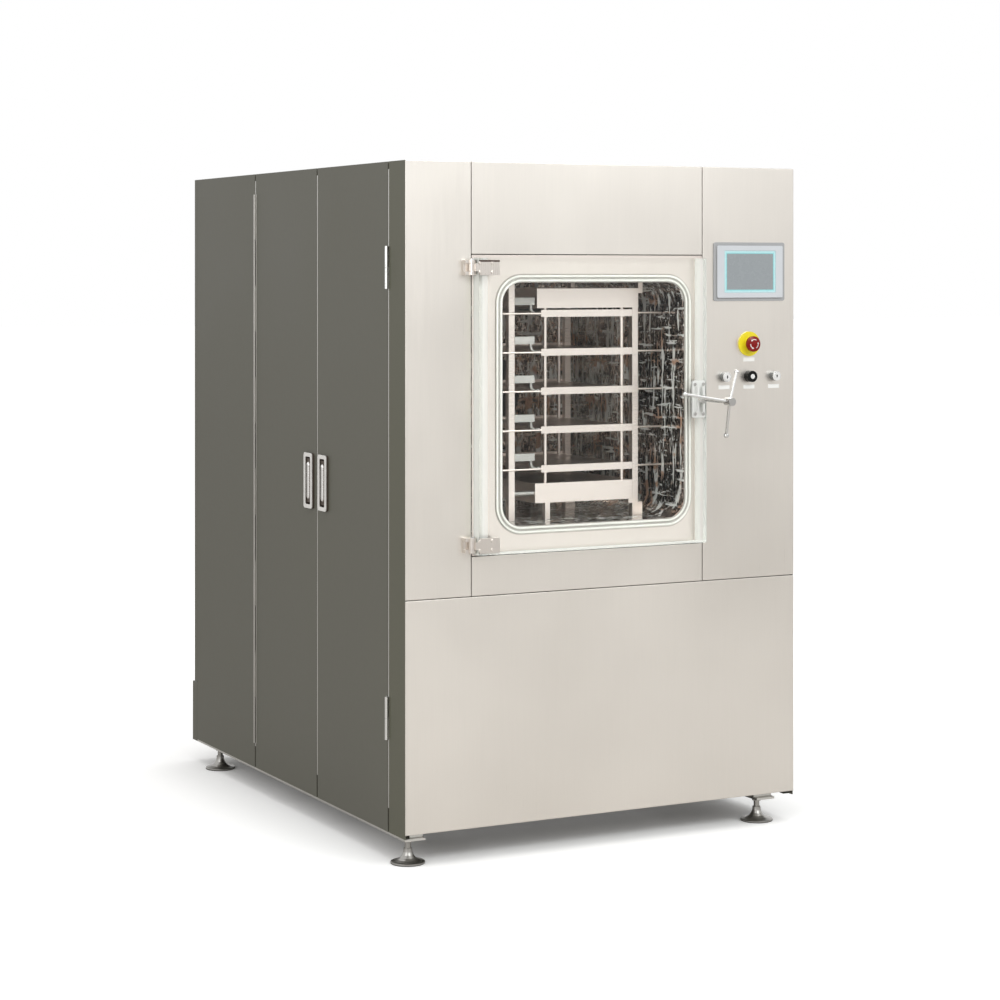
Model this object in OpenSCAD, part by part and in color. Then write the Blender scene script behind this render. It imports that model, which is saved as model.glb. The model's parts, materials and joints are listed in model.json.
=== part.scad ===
// Production freeze dryer: shelf chamber with a clear door, control column,
// grey side doors, and the refrigeration and vacuum plant in one cabinet.
// Inside in_cabinet() x runs right from the left side, y back from the front, z up from the floor.

/* [Cabinet] */
// Width of the cabinet
cab_w = 1200; // [1160:5:1400]
// Depth of the cabinet without the rear base cover
cab_d = 1555; // [1500:5:1800]
// Height from the floor to the roof
cab_h = 1825; // [1800:5:2000]
// Sheet thickness of every panel
sheet = 2; // [1.5:0.1:3]
// Depth of the folded edges of the panels
fold_d = 20; // [16:1:26]
// Gap between neighbouring front panels
seam = 2.4; // [1:0.1:4]
// Height of the front panels above the underside of the base frame
skirt_gap = 17; // [12:1:30]
// How far the rear base cover stands out behind the rear panel
rear_bulge = 18; // [10:1:30]
// Height of the rear base cover
rear_cover_h = 184; // [150:1:260]

/* [Rear vents] */
// Width of a louvre
louvre_w = 240; // [200:5:260]
// Distance between neighbouring louvres
louvre_pitch = 26; // [22:1:32]
// Number of louvres in each of the two columns
louvre_rows = 16; // [8:1:18]
// Diameter of the service holes in the rear base cover
service_hole_d = 32; // [24:1:40]
// Distance between the service holes
service_hole_pitch = 90; // [70:5:120]
// Distance of the first service hole from the right side
service_hole_in = 160; // [120:5:200]

/* [Front layout] */
// Width of the left front column
left_col_w = 190; // [170:1:230]
// Width of the right control column
control_w = 300; // [290:1:340]
// Height of the header panel above the chamber flange
header_h = 243; // [200:1:280]
// Height of the sill panel under the chamber flange
sill_h = 105; // [90:1:130]

/* [Side layout] */
// Width of the front corner strip
strip_w = 105; // [90:1:130]
// Width of the front side door, seam to seam
door_a_w = 473; // [420:1:520]
// Width of the rear side door, seam to seam
door_b_w = 464; // [420:1:520]
// Gap between neighbouring side panels
side_seam = 8; // [7:0.5:12]
// Width of the bright frame nose that shows in a side seam
nose_w = 5; // [3:0.5:6]
// Depth of the nose behind the side panels
nose_recess = 0.5; // [0.5:0.5:4]

/* [Frame] */
// Width of the square frame tubes
tube = 40; // [30:1:50]
// Wall of the frame tubes
tube_wall = 3; // [2:0.5:5]
// Width of the two sole bars under the base frame
sole_w = 58; // [50:1:70]
// Thickness of the sole bars
sole_t = 6; // [5:0.5:10]
// Distance of the right sole bar from the right side
right_sole_in = 61; // [50:1:120]
// Height of the base frame rails above the sole bars
rail_h = 60; // [50:1:80]
// Thickness of the deck plate on the base frame
deck_t = 3; // [2:0.5:5]

/* [Feet] */
// Height of the base frame above the floor
foot_h = 66; // [60:1:90]
// Diameter of the foot bell
foot_d = 90; // [70:1:100]
// Diameter of the foot stud
stud_d = 16; // [12:1:20]
// Distance of the front feet behind the front
foot_front_y = 50; // [46:1:90]
// Distance of the rear feet in front of the rear panel
foot_rear_y = 145; // [80:1:200]

/* [Chamber] */
// Width of the flange plate on each side of a centred opening
open_side = 76; // [70:0.5:85]
// Height of the flange plate above and below the opening
open_end = 74; // [70:0.5:80]
// Corner radius of the chamber opening
open_r = 55; // [40:1:70]
// Depth of the chamber
chamber_d = 620; // [600:1:700]
// Wall of the chamber
chamber_wall = 8; // [6:0.5:12]
// Thickness of the chamber flange plate
flange_t = 20; // [16:1:25]
// Place of the opening right of the flange's middle
opening_shift = 10; // [5:0.5:20]
// Width of the door gasket
gasket_w = 18; // [14:0.5:18.5]
// Flat land between the opening and the gasket
gasket_land = 2; // [1:0.5:4]
// Width of the groove that parts the gasket's two lips
lip_groove_w = 2.5; // [1.5:0.5:4]
// Depth of the gasket groove
groove_d = 5; // [4:0.5:8]
// Thickness of the foam around the chamber
foam_t = 40; // [25:1:45]
// Diameter of the vapour port in the chamber's rear wall
port_d = 220; // [180:1:260]

/* [Chamber door] */
// Thickness of the clear door
door_t = 30; // [25:1:40]
// Gap between the flange and the closed door
door_gap = 5; // [3:0.5:8]
// Margin of the flange to the left of the door
door_margin_left = 4; // [3:0.5:8]
// Margin of the flange to the right of the door
door_margin_right = 9; // [4:0.5:14]
// Margin of the flange below the door
door_margin_low = 5; // [3:0.5:9]
// Margin of the flange above the door
door_margin_top = 9; // [5:0.5:14]
// Diameter of the door hinge knuckles
knuckle_d = 20; // [18:0.5:22]
// Diameter of the door hinge pins
hinge_pin_d = 8; // [6:0.5:10]
// Height of a door hinge
hinge_h = 39; // [34:1:50]
// Distance of the door hinges from the door's upper and lower edge
hinge_in = 6; // [5:0.5:20]
// Height of the two fixed lugs of a door hinge
hinge_lug_h = 9; // [7:0.5:11]
// Width of the hinge plate on the door face
hinge_plate_w = 58; // [50:1:80]
// Thickness of the hinge plate on the door face
hinge_plate_t = 4; // [3:0.5:6]

/* [Clamp] */
// Height of the clamp above the door's lower edge
clamp_up = 392; // [330:1:440]
// Distance of the clamp screw from the door's right edge
clamp_in = 28; // [25:0.5:30]
// Diameter of the clamp screw
screw_d = 10; // [8:0.5:12]
// How far the clamp screw stands out of the door face
screw_out = 175; // [150:1:200]
// Width of the clamp bracket
bracket_w = 40; // [36:1:44]
// Height of the clamp bracket
bracket_h = 101; // [90:1:120]
// Base thickness of the clamp bracket
bracket_t = 6; // [4:0.5:8]
// Reach of the handle arms from the screw's axis
arm_reach = 100; // [80:1:110]
// How far the handle arms sweep back towards the door
arm_sweep = 67; // [56:1:90]
// Diameter of the handle arms
arm_d = 8; // [6:0.5:12]
// Diameter of the balls on the arms
ball_d = 15; // [12:0.5:20]

/* [Shelf stack] */
// Number of product shelves
shelf_count = 5; // [3:1:5]
// Height from one shelf to the next
shelf_pitch = 105; // [95:1:105]
// Clear way between the chamber's left wall and the stack's left posts
stack_left = 81; // [74:0.5:100]
// Clear way between the chamber's right wall and the stack's right posts
stack_right = 75; // [66:0.5:80]
// Depth of the shelves
shelf_d = 400; // [360:1:420]
// Thickness of the shelf plates
shelf_t = 12; // [10:0.5:16]
// Height of the lip at the front of a shelf
lip_h = 19; // [17:0.5:24]
// Height of the lowest shelf above the chamber floor
first_shelf_up = 137; // [134:1:140]
// Depth of the shelf stack's front behind the front of the cabinet
stack_y = 120; // [110:1:130]
// How far the plate at the bottom of the stack reaches to the left of the shelves
bottom_plate_over = 19; // [10:1:30]
// How far the plate at the top of the stack reaches to the left of the shelves
top_plate_over = 13; // [8:1:30]
// Height of the plates at the top and bottom of the stack
end_plate_h = 53; // [50:1:54]
// Clear height between the top shelf's lip and the top plate
top_plate_gap = 5; // [3:0.5:10]
// Distance from the middle of the lowest shelf down to the bottom plate
bottom_plate_drop = 39; // [30:0.5:44]
// Clear height between the top plate and the chamber's ceiling
head_room = 16.5; // [12:0.5:60]
// Width of the stack posts
post_w = 18; // [14:1:20]
// Clear way between the shelves' sides and the right posts
post_gap_right = 0.5; // [0.5:0.5:2]
// Distance from the left posts to the shelves
post_gap_left = 81; // [70:1:88]
// Width of the legs under the bottom plate
leg_w = 15; // [12:1:18]

/* [Shelf rods and hoses] */
// Diameter of the hanging rods
rod_d = 10; // [8:0.5:12]
// Distance of the rods from the shelves' front and rear edges
rod_in = 12; // [11:0.5:16]
// Distance of the left rods from the shelves' left edges
rod_in_left = 18; // [12:0.5:24]
// Distance of the right rods from the shelves' right edges
rod_in_right = 27; // [12:0.5:32]
// Diameter of the level guide rods in front of the shelves' ends
guide_d = 6; // [5:0.5:8]
// Diameter of the shelf hoses
hose_d = 10; // [8:0.5:12]
// Bend radius of the shelf hoses
bend_r = 16; // [14:0.5:18]
// Length of the hose fittings on the shelves
fitting_l = 12; // [10:0.5:16]
// Height of the manifold fittings above their shelves
manifold_up = 33; // [30:1:40]
// Height of a manifold fitting
manifold_h = 20; // [16:1:24]

/* [Controls] */
// Width of the touch panel
panel_w = 233; // [220:1:250]
// Height of the touch panel
panel_h = 162; // [150:1:175]
// How far the touch panel's face stands out
panel_out = 8; // [6:0.5:12]
// Thickness of the touch panel's outer rim
panel_rim_t = 3; // [2:0.5:4]
// Width of the touch panel's outer rim
panel_rim_w = 9; // [6:0.5:12]
// Distance of the touch panel's middle below the roof
panel_drop = 288; // [270:1:320]
// Distance of the emergency stop below the roof
estop_drop = 488; // [465:1:505]
// Diameter of the emergency stop's yellow plate
estop_d = 68; // [56:1:72]
// Diameter of the emergency stop's mushroom head
mushroom_d = 43; // [36:1:46]
// Distance of the row of switches below the roof
switch_drop = 578; // [570:1:590]
// Distance between neighbouring switches
switch_pitch = 81.5; // [70:0.5:85]
// Diameter of the key switches
key_d = 27; // [22:0.5:30]
// How far the key switches stand out
key_out = 18; // [14:0.5:24]
// Diameter of the black selector
selector_d = 31; // [26:0.5:34]
// How far the black selector stands out
selector_out = 20; // [16:0.5:24]
// Place of the devices right of the control column's middle
control_shift = 1.5; // [0:0.5:10]
// Clear depth behind the control panel for its devices
control_space = 45; // [42:1:60]
// Width of the blank label plates
label_w = 36; // [28:1:44]
// Height of the blank label plates
label_h = 11; // [8:0.5:14]

/* [Side latches] */
// Height of the latch dishes
latch_h = 155; // [130:1:170]
// Width of the latch dishes
latch_w = 58; // [50:1:64]
// How far the latch dishes stand out
latch_out = 8; // [6:0.5:10]
// Height of the middle of the latches
latch_z = 952; // [900:1:1000]
// Distance of a latch's middle from the seam between the doors
latch_from_seam = 50; // [42:1:60]

/* [Side hinges] */
// Height of a visible hinge barrel
barrel_h = 112; // [90:1:130]
// Diameter of a visible hinge barrel
barrel_d = 10; // [9:0.5:12]
// Distance of the upper barrel's middle below the roof
upper_barrel_drop = 277; // [220:1:380]
// Height of the lower barrel's middle
lower_barrel_z = 370; // [300:1:450]
// Diameter of the long hinge of the rear side door
long_hinge_d = 6; // [5.5:0.1:6.5]
// Number of knuckles along the long hinge
long_hinge_knuckles = 12; // [8:2:16]

/* [Plant] */
// Diameter of the cold trap shell
trap_d = 500; // [460:5:520]
// Length of the cold trap shell
trap_l = 560; // [500:5:600]
// Diameter of a coil turn in the cold trap
coil_d = 400; // [380:5:410]
// Number of coil turns in the cold trap
coil_turns = 8; // [5:1:10]
// Diameter of the compressor motor housings
compressor_d = 210; // [180:1:240]
// Length of the compressors
compressor_l = 380; // [340:1:400]
// Width of the finned air condenser
condenser_w = 620; // [560:5:700]
// Height of the finned air condenser
condenser_h = 520; // [480:5:540]
// Diameter of the condenser fan
fan_d = 420; // [380:5:440]
// Number of fan blades
fan_blades = 6; // [4:1:8]

/* [Hidden] */

$fn = 72;
eps = 0.01;
// radial clearance of a running fit
run = 0.05;
// gap between a soft face and what closes on it
soft_gap = 0.3;

// reach of the clamp handle in front of the cabinet, and the cabinet's place about the origin
front_reach = door_gap + door_t + screw_out;
front_y = -(cab_d + rear_bulge - front_reach) / 2;

// heights
panel_bottom = foot_h + skirt_gap;
side_bottom = foot_h + sole_t;
side_h = cab_h - side_bottom;
header_z = cab_h - header_h;
// the chamber is as high as its shelf stack needs
stack_h = first_shelf_up + (shelf_count - 1) * shelf_pitch + lip_h / 2 + top_plate_gap + end_plate_h;
open_h = stack_h + head_room;
flange_h = open_h + 2 * open_end;
flange_z = header_z - flange_h;
sill_z = flange_z - sill_h;
rail_top = side_bottom + rail_h;
deck_z = rail_top + deck_t;
top_ring_z = cab_h - fold_d - tube;

// places across the front
control_x = cab_w - control_w;
flange_w = control_x - left_col_w;
flange_x = left_col_w;
open_w = flange_w - 2 * open_side;
open_x = flange_x + flange_w / 2 + opening_shift;
open_z = flange_z + flange_h / 2;
control_mid = control_x + control_w / 2 + control_shift;
panel_z = cab_h - panel_drop;
estop_z = cab_h - estop_drop;
switch_z = cab_h - switch_drop;

// seams along the side
seam_a = strip_w;
seam_b = seam_a + door_a_w;
seam_c = seam_b + door_b_w;
rear_y = cab_d - fold_d;

// frame
frame_front = fold_d;
frame_back = rear_y;
left_sole_x = sheet / 2;
right_sole_x = cab_w - right_sole_in - sole_w;
post_y = [frame_front, seam_a - tube / 2, seam_b - tube / 2, seam_c - tube / 2, frame_back - tube];
right_post_y = [frame_front + control_space, post_y[2], post_y[3], post_y[4]];
cross_y = [frame_front, seam_a + 0.58 * door_a_w, seam_b + 0.35 * door_b_w, seam_c + sheet, frame_back - tube];
foot_points = [for (x = [left_sole_x + sole_w / 2, right_sole_x + sole_w / 2],
    y = [foot_front_y, cab_d - foot_rear_y]) [x, y]];

// rear louvres
louvre_columns = [cab_w / 2 - louvre_w - 20, cab_w / 2 + 20];
function louvre_z(i) = foot_h + rear_cover_h + 30 + i * louvre_pitch;

// chamber
shell_w = open_w + 2 * chamber_wall;
shell_h = open_h + 2 * chamber_wall;
shell_back = flange_t + chamber_d;
beam_top = flange_z + 12;
foam_w = shell_w + 2 * foam_t;
foam_bottom = open_z - shell_h / 2 - foam_t;
chamber_floor = open_z - open_h / 2;
vessel_foot_w = 60;
vessel_foot_y = [post_y[1], post_y[2] - vessel_foot_w];

// chamber door
door_w = flange_w - door_margin_left - door_margin_right;
door_h = flange_h - door_margin_low - door_margin_top;
door_x = flange_x + door_margin_left;
door_z = flange_z + door_margin_low;
door_face = -(door_gap + door_t);
hinge_x = door_x - knuckle_d / 2 - 1;
hinge_y = -(door_gap + door_t / 2);
hinge_split = 0.5;
hinge_foot_t = 9;
hinge_z = [door_z + hinge_in, door_z + door_h - hinge_in - hinge_h];
moving_h = hinge_h - 2 * hinge_lug_h - 2 * hinge_split;

// clamp
clamp_x = door_x + door_w - clamp_in;
clamp_z = door_z + clamp_up;
collar_l = 12;
clamp_tip = 8;
socket_d = screw_d + 6;
bracket_face = door_face - bracket_t;
boss_out = 12;

// shelf stack
left_post_x = open_x - open_w / 2 + stack_left;
right_post_x = open_x + open_w / 2 - stack_right - post_w;
shelf_x = left_post_x + post_w + post_gap_left;
shelf_w = right_post_x - post_gap_right - shelf_x;
top_shelf_z = chamber_floor + first_shelf_up + (shelf_count - 1) * shelf_pitch;
top_plate_z = top_shelf_z + lip_h / 2 + top_plate_gap;
top_plate_x = shelf_x - top_plate_over;
top_plate_w = right_post_x + post_w + 1 - top_plate_x;
bottom_plate_x = shelf_x - bottom_plate_over;
bottom_plate_w = right_post_x - post_gap_right - bottom_plate_x;
bottom_plate_z = chamber_floor + first_shelf_up - bottom_plate_drop - end_plate_h;
post_back_y = stack_y + shelf_d - post_w;
elbow_x = shelf_x - fitting_l - bend_r;

rod_places_x = [shelf_x + rod_in_left, shelf_x + shelf_w - rod_in_right];
rod_places_y = [stack_y + rod_in, stack_y + shelf_d - 2.5 * rod_in];

// touch panel, emergency stop and switches
screen_w = panel_w - 64;
screen_h = panel_h - 46;
device_d = 22;
device_depth = 42;
estop_stem_d = 15;
estop_travel = 5;
estop_plate_t = 4;
estop_boss_out = 12;
key_bore = key_d - 8;
key_depth = 17.5;
rotor_d = 13;
rotor_depth = 15;

// side furniture
strip_y = sheet + 0.5;
latch_a_y = seam_b - latch_from_seam;
latch_b_y = seam_b + latch_from_seam;
latch_depth = 16;
latch_rim = 11;
latch_pivot_up = latch_h / 2 - 24;
lever_t = 8;
trunnion_d = 6;
barrel_x = -barrel_d / 2;
barrel_pin_d = barrel_d * 0.5;
upper_barrel_z = cab_h - upper_barrel_drop;
long_hinge_x = nose_recess - long_hinge_d / 2 - 0.4;
long_pin_d = long_hinge_d * 0.5;
long_hinge_z = deck_z + 10;
long_hinge_h = top_ring_z - long_hinge_z;
knuckle_step = long_hinge_h / long_hinge_knuckles;

// plant
trap_y = shell_back + 110;
trap_z = open_z;
trap_wall = 6;
condenser_t = 60;
condenser_y = rear_y - 190;
condenser_x = cab_w / 2 - condenser_w / 2;
condenser_z = deck_z;
shroud_d = 80;
fan_x = cab_w / 2;
fan_z = condenser_z + condenser_h / 2;
fan_y = condenser_y + condenser_t + shroud_d / 2;
fin_pitch = 14;
fan_hub_d = 110;
fan_hub_l = 44;
motor_shaft_d = 14;
compressor_x = fold_d + tube + 60 + compressor_d / 2;
pump_x = cab_w - fold_d - tube - 340;
pump_y = 260;
pump_l = 470;

module in_cabinet() translate([-cab_w / 2, front_y, 0]) children();

// Flat rectangle with round corners, centred
module round_rect(w, h, r) {
    square([w - 2 * r, h], center = true);
    square([w, h - 2 * r], center = true);
    for (x = [-1, 1], y = [-1, 1])
        translate([x * (w / 2 - r), y * (h / 2 - r)]) circle(r);
}

// Raises a flat shape drawn in x and z, from y towards the front by t
module forward(y, t) translate([0, y, 0]) rotate([90, 0, 0]) linear_extrude(t) children();

// Cylinder along y, from y to y + l
module rod_y(x, y, z, d, l) translate([x, y, z]) rotate([-90, 0, 0]) cylinder(d = d, h = l);

// Cylinder along x, from x to x + l
module rod_x(x, y, z, d, l) translate([x, y, z]) rotate([0, 90, 0]) cylinder(d = d, h = l);

// Folded front panel with its visible face at y = 0; inset keeps the side folds off an outer edge
module front_tray(x, z, w, h, inset_left = 0, inset_right = 0) {
    translate([x, 0, z]) cube([w, sheet, h]);
    difference() {
        translate([x + inset_left, eps, z]) cube([w - inset_left - inset_right, fold_d - eps, h]);
        translate([x + inset_left + sheet, 0, z + sheet])
            cube([w - inset_left - inset_right - 2 * sheet, fold_d + 1, h - 2 * sheet]);
    }
}

// Folded side panel with its visible face at x = 0
module side_tray(y, z, w, h) {
    difference() {
        translate([0, y, z]) cube([fold_d, w, h]);
        translate([sheet, y + sheet, z + sheet]) cube([fold_d, w - 2 * sheet, h - 2 * sheet]);
    }
}

// Mirrors a left side piece to the right side of the cabinet
module on_right() translate([cab_w, 0, 0]) mirror([1, 0, 0]) children();

// ---- frame and feet ----

module bar(x, y, z, dx, dy, dz) translate([x, y, z]) cube([dx, dy, dz]);

// Square tube box, shrunk on all sides for its hollow
module tube_box(x, y, z, dx, dy, dz, shrink)
    bar(x + shrink, y + shrink, z + shrink, dx - 2 * shrink, dy - 2 * shrink, dz - 2 * shrink);

module base_tubes(shrink) {
    tube_box(left_sole_x + fold_d, frame_front, side_bottom, sole_w - fold_d,
        frame_back - frame_front, rail_h, shrink);
    tube_box(right_sole_x, frame_front, side_bottom, sole_w, frame_back - frame_front, rail_h, shrink);
    for (y = cross_y)
        tube_box(fold_d, y, rail_top - tube, cab_w - 2 * fold_d, tube, tube, shrink);
}
module base_frame() color("silver") in_cabinet() {
    difference() {
        union() {
            difference() {
                base_tubes(0);
                base_tubes(tube_wall);
            }
            for (x = [left_sole_x, right_sole_x])
                bar(x, sheet + 2, foot_h, sole_w, cab_d - sheet - 2 - fold_d, sole_t);
            bar(fold_d, frame_front, rail_top - eps, cab_w - 2 * fold_d, frame_back - frame_front, deck_t + eps);
        }
        for (p = foot_points)
            translate([p[0], p[1], foot_h - 1]) cylinder(d = stud_d + 2 * run, h = sole_t + tube_wall + 2);
    }
}

module upright(x, y, shrink) tube_box(x, y, deck_z, tube, tube, top_ring_z + tube - deck_z, shrink);

module upright_tubes(shrink) {
    for (y = post_y) upright(fold_d, y, shrink);
    for (y = right_post_y) upright(cab_w - fold_d - tube, y, shrink);
    for (x = [flange_x - tube - 4, control_x + 4]) upright(x, frame_front, shrink);
    for (x = [fold_d, cab_w - fold_d - tube])
        tube_box(x, frame_front, top_ring_z, tube, frame_back - frame_front, tube, shrink);
    for (y = [frame_front, post_y[2], post_y[3], frame_back - tube])
        tube_box(fold_d, y, top_ring_z, cab_w - 2 * fold_d, tube, tube, shrink);
    tube_box(fold_d, frame_front, sill_z - tube / 2, cab_w - 2 * fold_d, tube, tube, shrink);
    for (y = [post_y[1], post_y[2], post_y[3], frame_back - tube])
        tube_box(fold_d, y, beam_top - tube, cab_w - 2 * fold_d, tube, tube, shrink);
}

module upright_frame() color("silver") in_cabinet() {
    difference() {
        upright_tubes(0);
        upright_tubes(tube_wall);
    }
    for (y = [seam_a, seam_b, seam_c])
        bar(nose_recess, y - nose_w / 2, deck_z, fold_d - nose_recess + eps, nose_w,
            top_ring_z + tube - deck_z);
}

module levelling_feet() color("gainsboro") in_cabinet() {
    bell_h = foot_h * 0.55;
    rim_h = 5;
    for (p = foot_points) translate([p[0], p[1], 0]) {
        rotate_extrude() polygon(concat([[0, 0], [foot_d / 2 - 2, 0], [foot_d / 2, 2],
            [foot_d / 2, rim_h]],
            [for (a = [0:15:90]) [stud_d / 2 + 3 + (foot_d / 2 - stud_d / 2 - 5) * (1 - sin(a)),
                rim_h + 1 + (bell_h - rim_h) * (1 - cos(a))]],
            [[stud_d / 2 + 3, bell_h + 3], [0, bell_h + 3]]));
        cylinder(d = stud_d, h = foot_h + sole_t + tube_wall);
    }
}

module foot_nuts() color("silver") in_cabinet() {
    nut_h = 10;
    for (p = foot_points) translate([p[0], p[1], foot_h - nut_h]) difference() {
        cylinder(d = stud_d * 1.75, h = nut_h, $fn = 6);
        translate([0, 0, -1]) cylinder(d = stud_d + 2 * run, h = nut_h + 2);
    }
}

// ---- front panels ----

module left_front_panel() color("gainsboro") in_cabinet()
    front_tray(0, sill_z + seam / 2, left_col_w - seam / 2,
        cab_h - sill_z - seam / 2, sheet + 1.5, 0);

module header_panel() color("gainsboro") in_cabinet()
    front_tray(flange_x + seam / 2, header_z + seam / 2, flange_w - seam, cab_h - header_z - seam / 2);

module control_panel() color("gainsboro") in_cabinet() difference() {
    front_tray(control_x + seam / 2, sill_z + seam / 2, control_w - seam / 2,
        cab_h - sill_z - seam / 2, 0, sheet + 1.5);
    translate([control_mid, 0, panel_z])
        forward(sheet + 1, sheet + 2) square([panel_w - 20, panel_h - 20], center = true);
    rod_y(control_mid, -1, estop_z, device_d + 0.5, sheet + 2);
    for (i = [-1, 0, 1])
        rod_y(control_mid + i * switch_pitch, -1, switch_z, device_d + 0.5, sheet + 2);
}

module sill_panel() color("gainsboro") in_cabinet()
    front_tray(flange_x + seam / 2, sill_z + seam / 2, flange_w - seam, sill_h - seam);

module lower_front_panel() color("gainsboro") in_cabinet()
    front_tray(0, panel_bottom, cab_w, sill_z - seam / 2 - panel_bottom, sheet + 1.5, sheet + 1.5);

// ---- side, roof and rear panels ----

module corner_strip() difference() {
    side_tray(strip_y, side_bottom, seam_a - side_seam / 2 - strip_y, side_h);
    // the strip's front fold is cut back so that the front panels' folds pass
    translate([sheet + 0.5, strip_y - 1, side_bottom - 1]) cube([fold_d, fold_d - strip_y + 1, side_h + 2]);
}

module left_corner_strip() color("dimgray") in_cabinet() corner_strip();

module right_corner_strip() color("dimgray") in_cabinet() on_right() corner_strip();

module left_rear_panel() color("dimgray") in_cabinet()
    side_tray(seam_c + side_seam / 2, side_bottom, rear_y - seam / 2 - seam_c - side_seam / 2, side_h);

module right_front_panel() color("dimgray") in_cabinet() on_right()
    side_tray(seam_a + side_seam / 2, side_bottom, seam_b - seam_a - side_seam, side_h);

module right_rear_panel() color("dimgray") in_cabinet() on_right()
    side_tray(seam_b + side_seam / 2, side_bottom, rear_y - seam / 2 - seam_b - side_seam / 2, side_h);

module roof_panel() color("dimgray") in_cabinet() {
    inner_w = cab_w - 2 * fold_d - 2;
    inner_d = rear_y - fold_d - 2;
    translate([fold_d + 1, fold_d + 1, cab_h - fold_d]) difference() {
        cube([inner_w, inner_d, fold_d]);
        translate([sheet, sheet, -sheet]) cube([inner_w - 2 * sheet, inner_d - 2 * sheet, fold_d]);
    }
}

// One pressed louvre hood on a rear face, opening downwards
module louvre(x, z) translate([x, cab_d - eps, z]) rotate([90, 0, 90])
    linear_extrude(louvre_w) polygon([[0, 0], [9, 3], [9, 5], [0, 16]]);

module rear_panel() color("dimgray") in_cabinet() {
    z0 = foot_h + rear_cover_h + seam;
    difference() {
        translate([0, rear_y, z0]) cube([cab_w, fold_d, cab_h - z0]);
        translate([sheet, rear_y - 1, z0 + sheet])
            cube([cab_w - 2 * sheet, fold_d + 1 - sheet, cab_h - z0 - 2 * sheet]);
        for (x = louvre_columns, i = [0:louvre_rows - 1])
            translate([x + 4, rear_y, louvre_z(i) + 1.5]) cube([louvre_w - 8, fold_d + 2, 9]);
    }
    for (x = louvre_columns, i = [0:louvre_rows - 1]) louvre(x, louvre_z(i));
}

module rear_base_cover() color("dimgray") in_cabinet() difference() {
    translate([0, rear_y + eps, foot_h]) cube([cab_w, fold_d + rear_bulge - eps, rear_cover_h]);
    translate([sheet, rear_y - 1, foot_h + sheet])
        cube([cab_w - 2 * sheet, fold_d + rear_bulge + 1 - sheet, rear_cover_h - 2 * sheet]);
    for (i = [0:2])
        rod_y(cab_w - service_hole_in - i * service_hole_pitch, rear_y, foot_h + rear_cover_h / 2,
            service_hole_d, fold_d + rear_bulge + 1);
}

// ---- side doors ----

// Cut-out of a side door behind a latch dish
module latch_hole(y) translate([-1, y - latch_w / 2 + 6, latch_z - latch_h / 2 + 6])
    cube([sheet + 2, latch_w - 12, latch_h - 12]);

module side_door_front() color("dimgray") in_cabinet() difference() {
    side_tray(seam_a + side_seam / 2, side_bottom, seam_b - seam_a - side_seam, side_h);
    latch_hole(latch_a_y);
}

module side_door_rear() color("dimgray") in_cabinet() difference() {
    side_tray(seam_b + side_seam / 2, side_bottom, seam_c - seam_b - side_seam, side_h);
    latch_hole(latch_b_y);
}

// Lower half of each lift-off hinge: knuckle, upright pin and the foot on the frame nose
module side_hinge_pins() color("silver") in_cabinet() for (z = [lower_barrel_z, upper_barrel_z]) {
    translate([barrel_x, seam_a, z - barrel_h / 2]) {
        cylinder(d = barrel_d, h = barrel_h / 2 - 0.25);
        cylinder(d = barrel_pin_d, h = barrel_h - 8);
    }
    bar(barrel_x, seam_a - 1.5, z - barrel_h / 2, nose_recess - barrel_x, 3, barrel_h / 2 - 0.25);
}

// Upper half of each lift-off hinge with its bore and the leaf on the door
module side_hinge_sleeves() color("silver") in_cabinet() for (z = [lower_barrel_z, upper_barrel_z])
    difference() {
        union() {
            translate([barrel_x, seam_a, z + 0.25]) cylinder(d = barrel_d, h = barrel_h / 2 - 0.25);
            bar(-2.5, seam_a, z + 0.25, 2.5, side_seam / 2 + 8, barrel_h / 2 - 0.25);
        }
        translate([barrel_x, seam_a, z - 1])
            cylinder(d = barrel_pin_d + 2 * run, h = barrel_h / 2 - 6 + 1);
    }

// Every second knuckle of the long hinge, starting with knuckle first
module long_knuckles(first) for (i = [first:2:long_hinge_knuckles - 1])
    translate([long_hinge_x, seam_c, long_hinge_z + i * knuckle_step + 0.25])
        cylinder(d = long_hinge_d, h = knuckle_step - 0.5);

module long_hinge_fixed() color("silver") in_cabinet() {
    long_knuckles(0);
    translate([long_hinge_x, seam_c, long_hinge_z + 0.25])
        cylinder(d = long_pin_d, h = long_hinge_h - 0.5);
    for (i = [0:2:long_hinge_knuckles - 1])
        bar(long_hinge_x, seam_c - 1, long_hinge_z + i * knuckle_step + 0.25,
            nose_recess - long_hinge_x, 2, knuckle_step - 0.5);
}

module long_hinge_leaf() color("silver") in_cabinet() difference() {
    union() {
        long_knuckles(1);
        for (i = [1:2:long_hinge_knuckles - 1])
            bar(-1.2, seam_c - side_seam / 2 - 8, long_hinge_z + i * knuckle_step + 0.25,
                1.2, side_seam / 2 + 8, knuckle_step - 0.5);
        bar(-1.2, seam_c - side_seam / 2 - 8, long_hinge_z, 1.2, 7, long_hinge_h);
    }
    translate([long_hinge_x, seam_c, long_hinge_z - 1])
        cylinder(d = long_pin_d + 2 * run, h = long_hinge_h + 2);
}

// Chromed dish round a latch lever, its recess open to the side
module latch_dish(y) translate([0, y, latch_z]) difference() {
    union() {
        rotate([0, -90, 0]) linear_extrude(latch_out) round_rect(latch_h, latch_w, 8);
        translate([latch_depth + 2, 0, 0]) rotate([0, -90, 0])
            linear_extrude(latch_depth + 2 + eps) round_rect(latch_h - 14, latch_w - 14, 6);
    }
    translate([latch_depth, 0, 0]) rotate([0, -90, 0])
        linear_extrude(latch_depth + latch_out + 1)
            round_rect(latch_h - 2 * latch_rim, latch_w - 2 * latch_rim, 5);
    translate([0, -latch_w / 2 + 5, latch_pivot_up]) rotate([-90, 0, 0])
        cylinder(d = trunnion_d + 2 * run, h = latch_w - 10);
}

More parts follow.
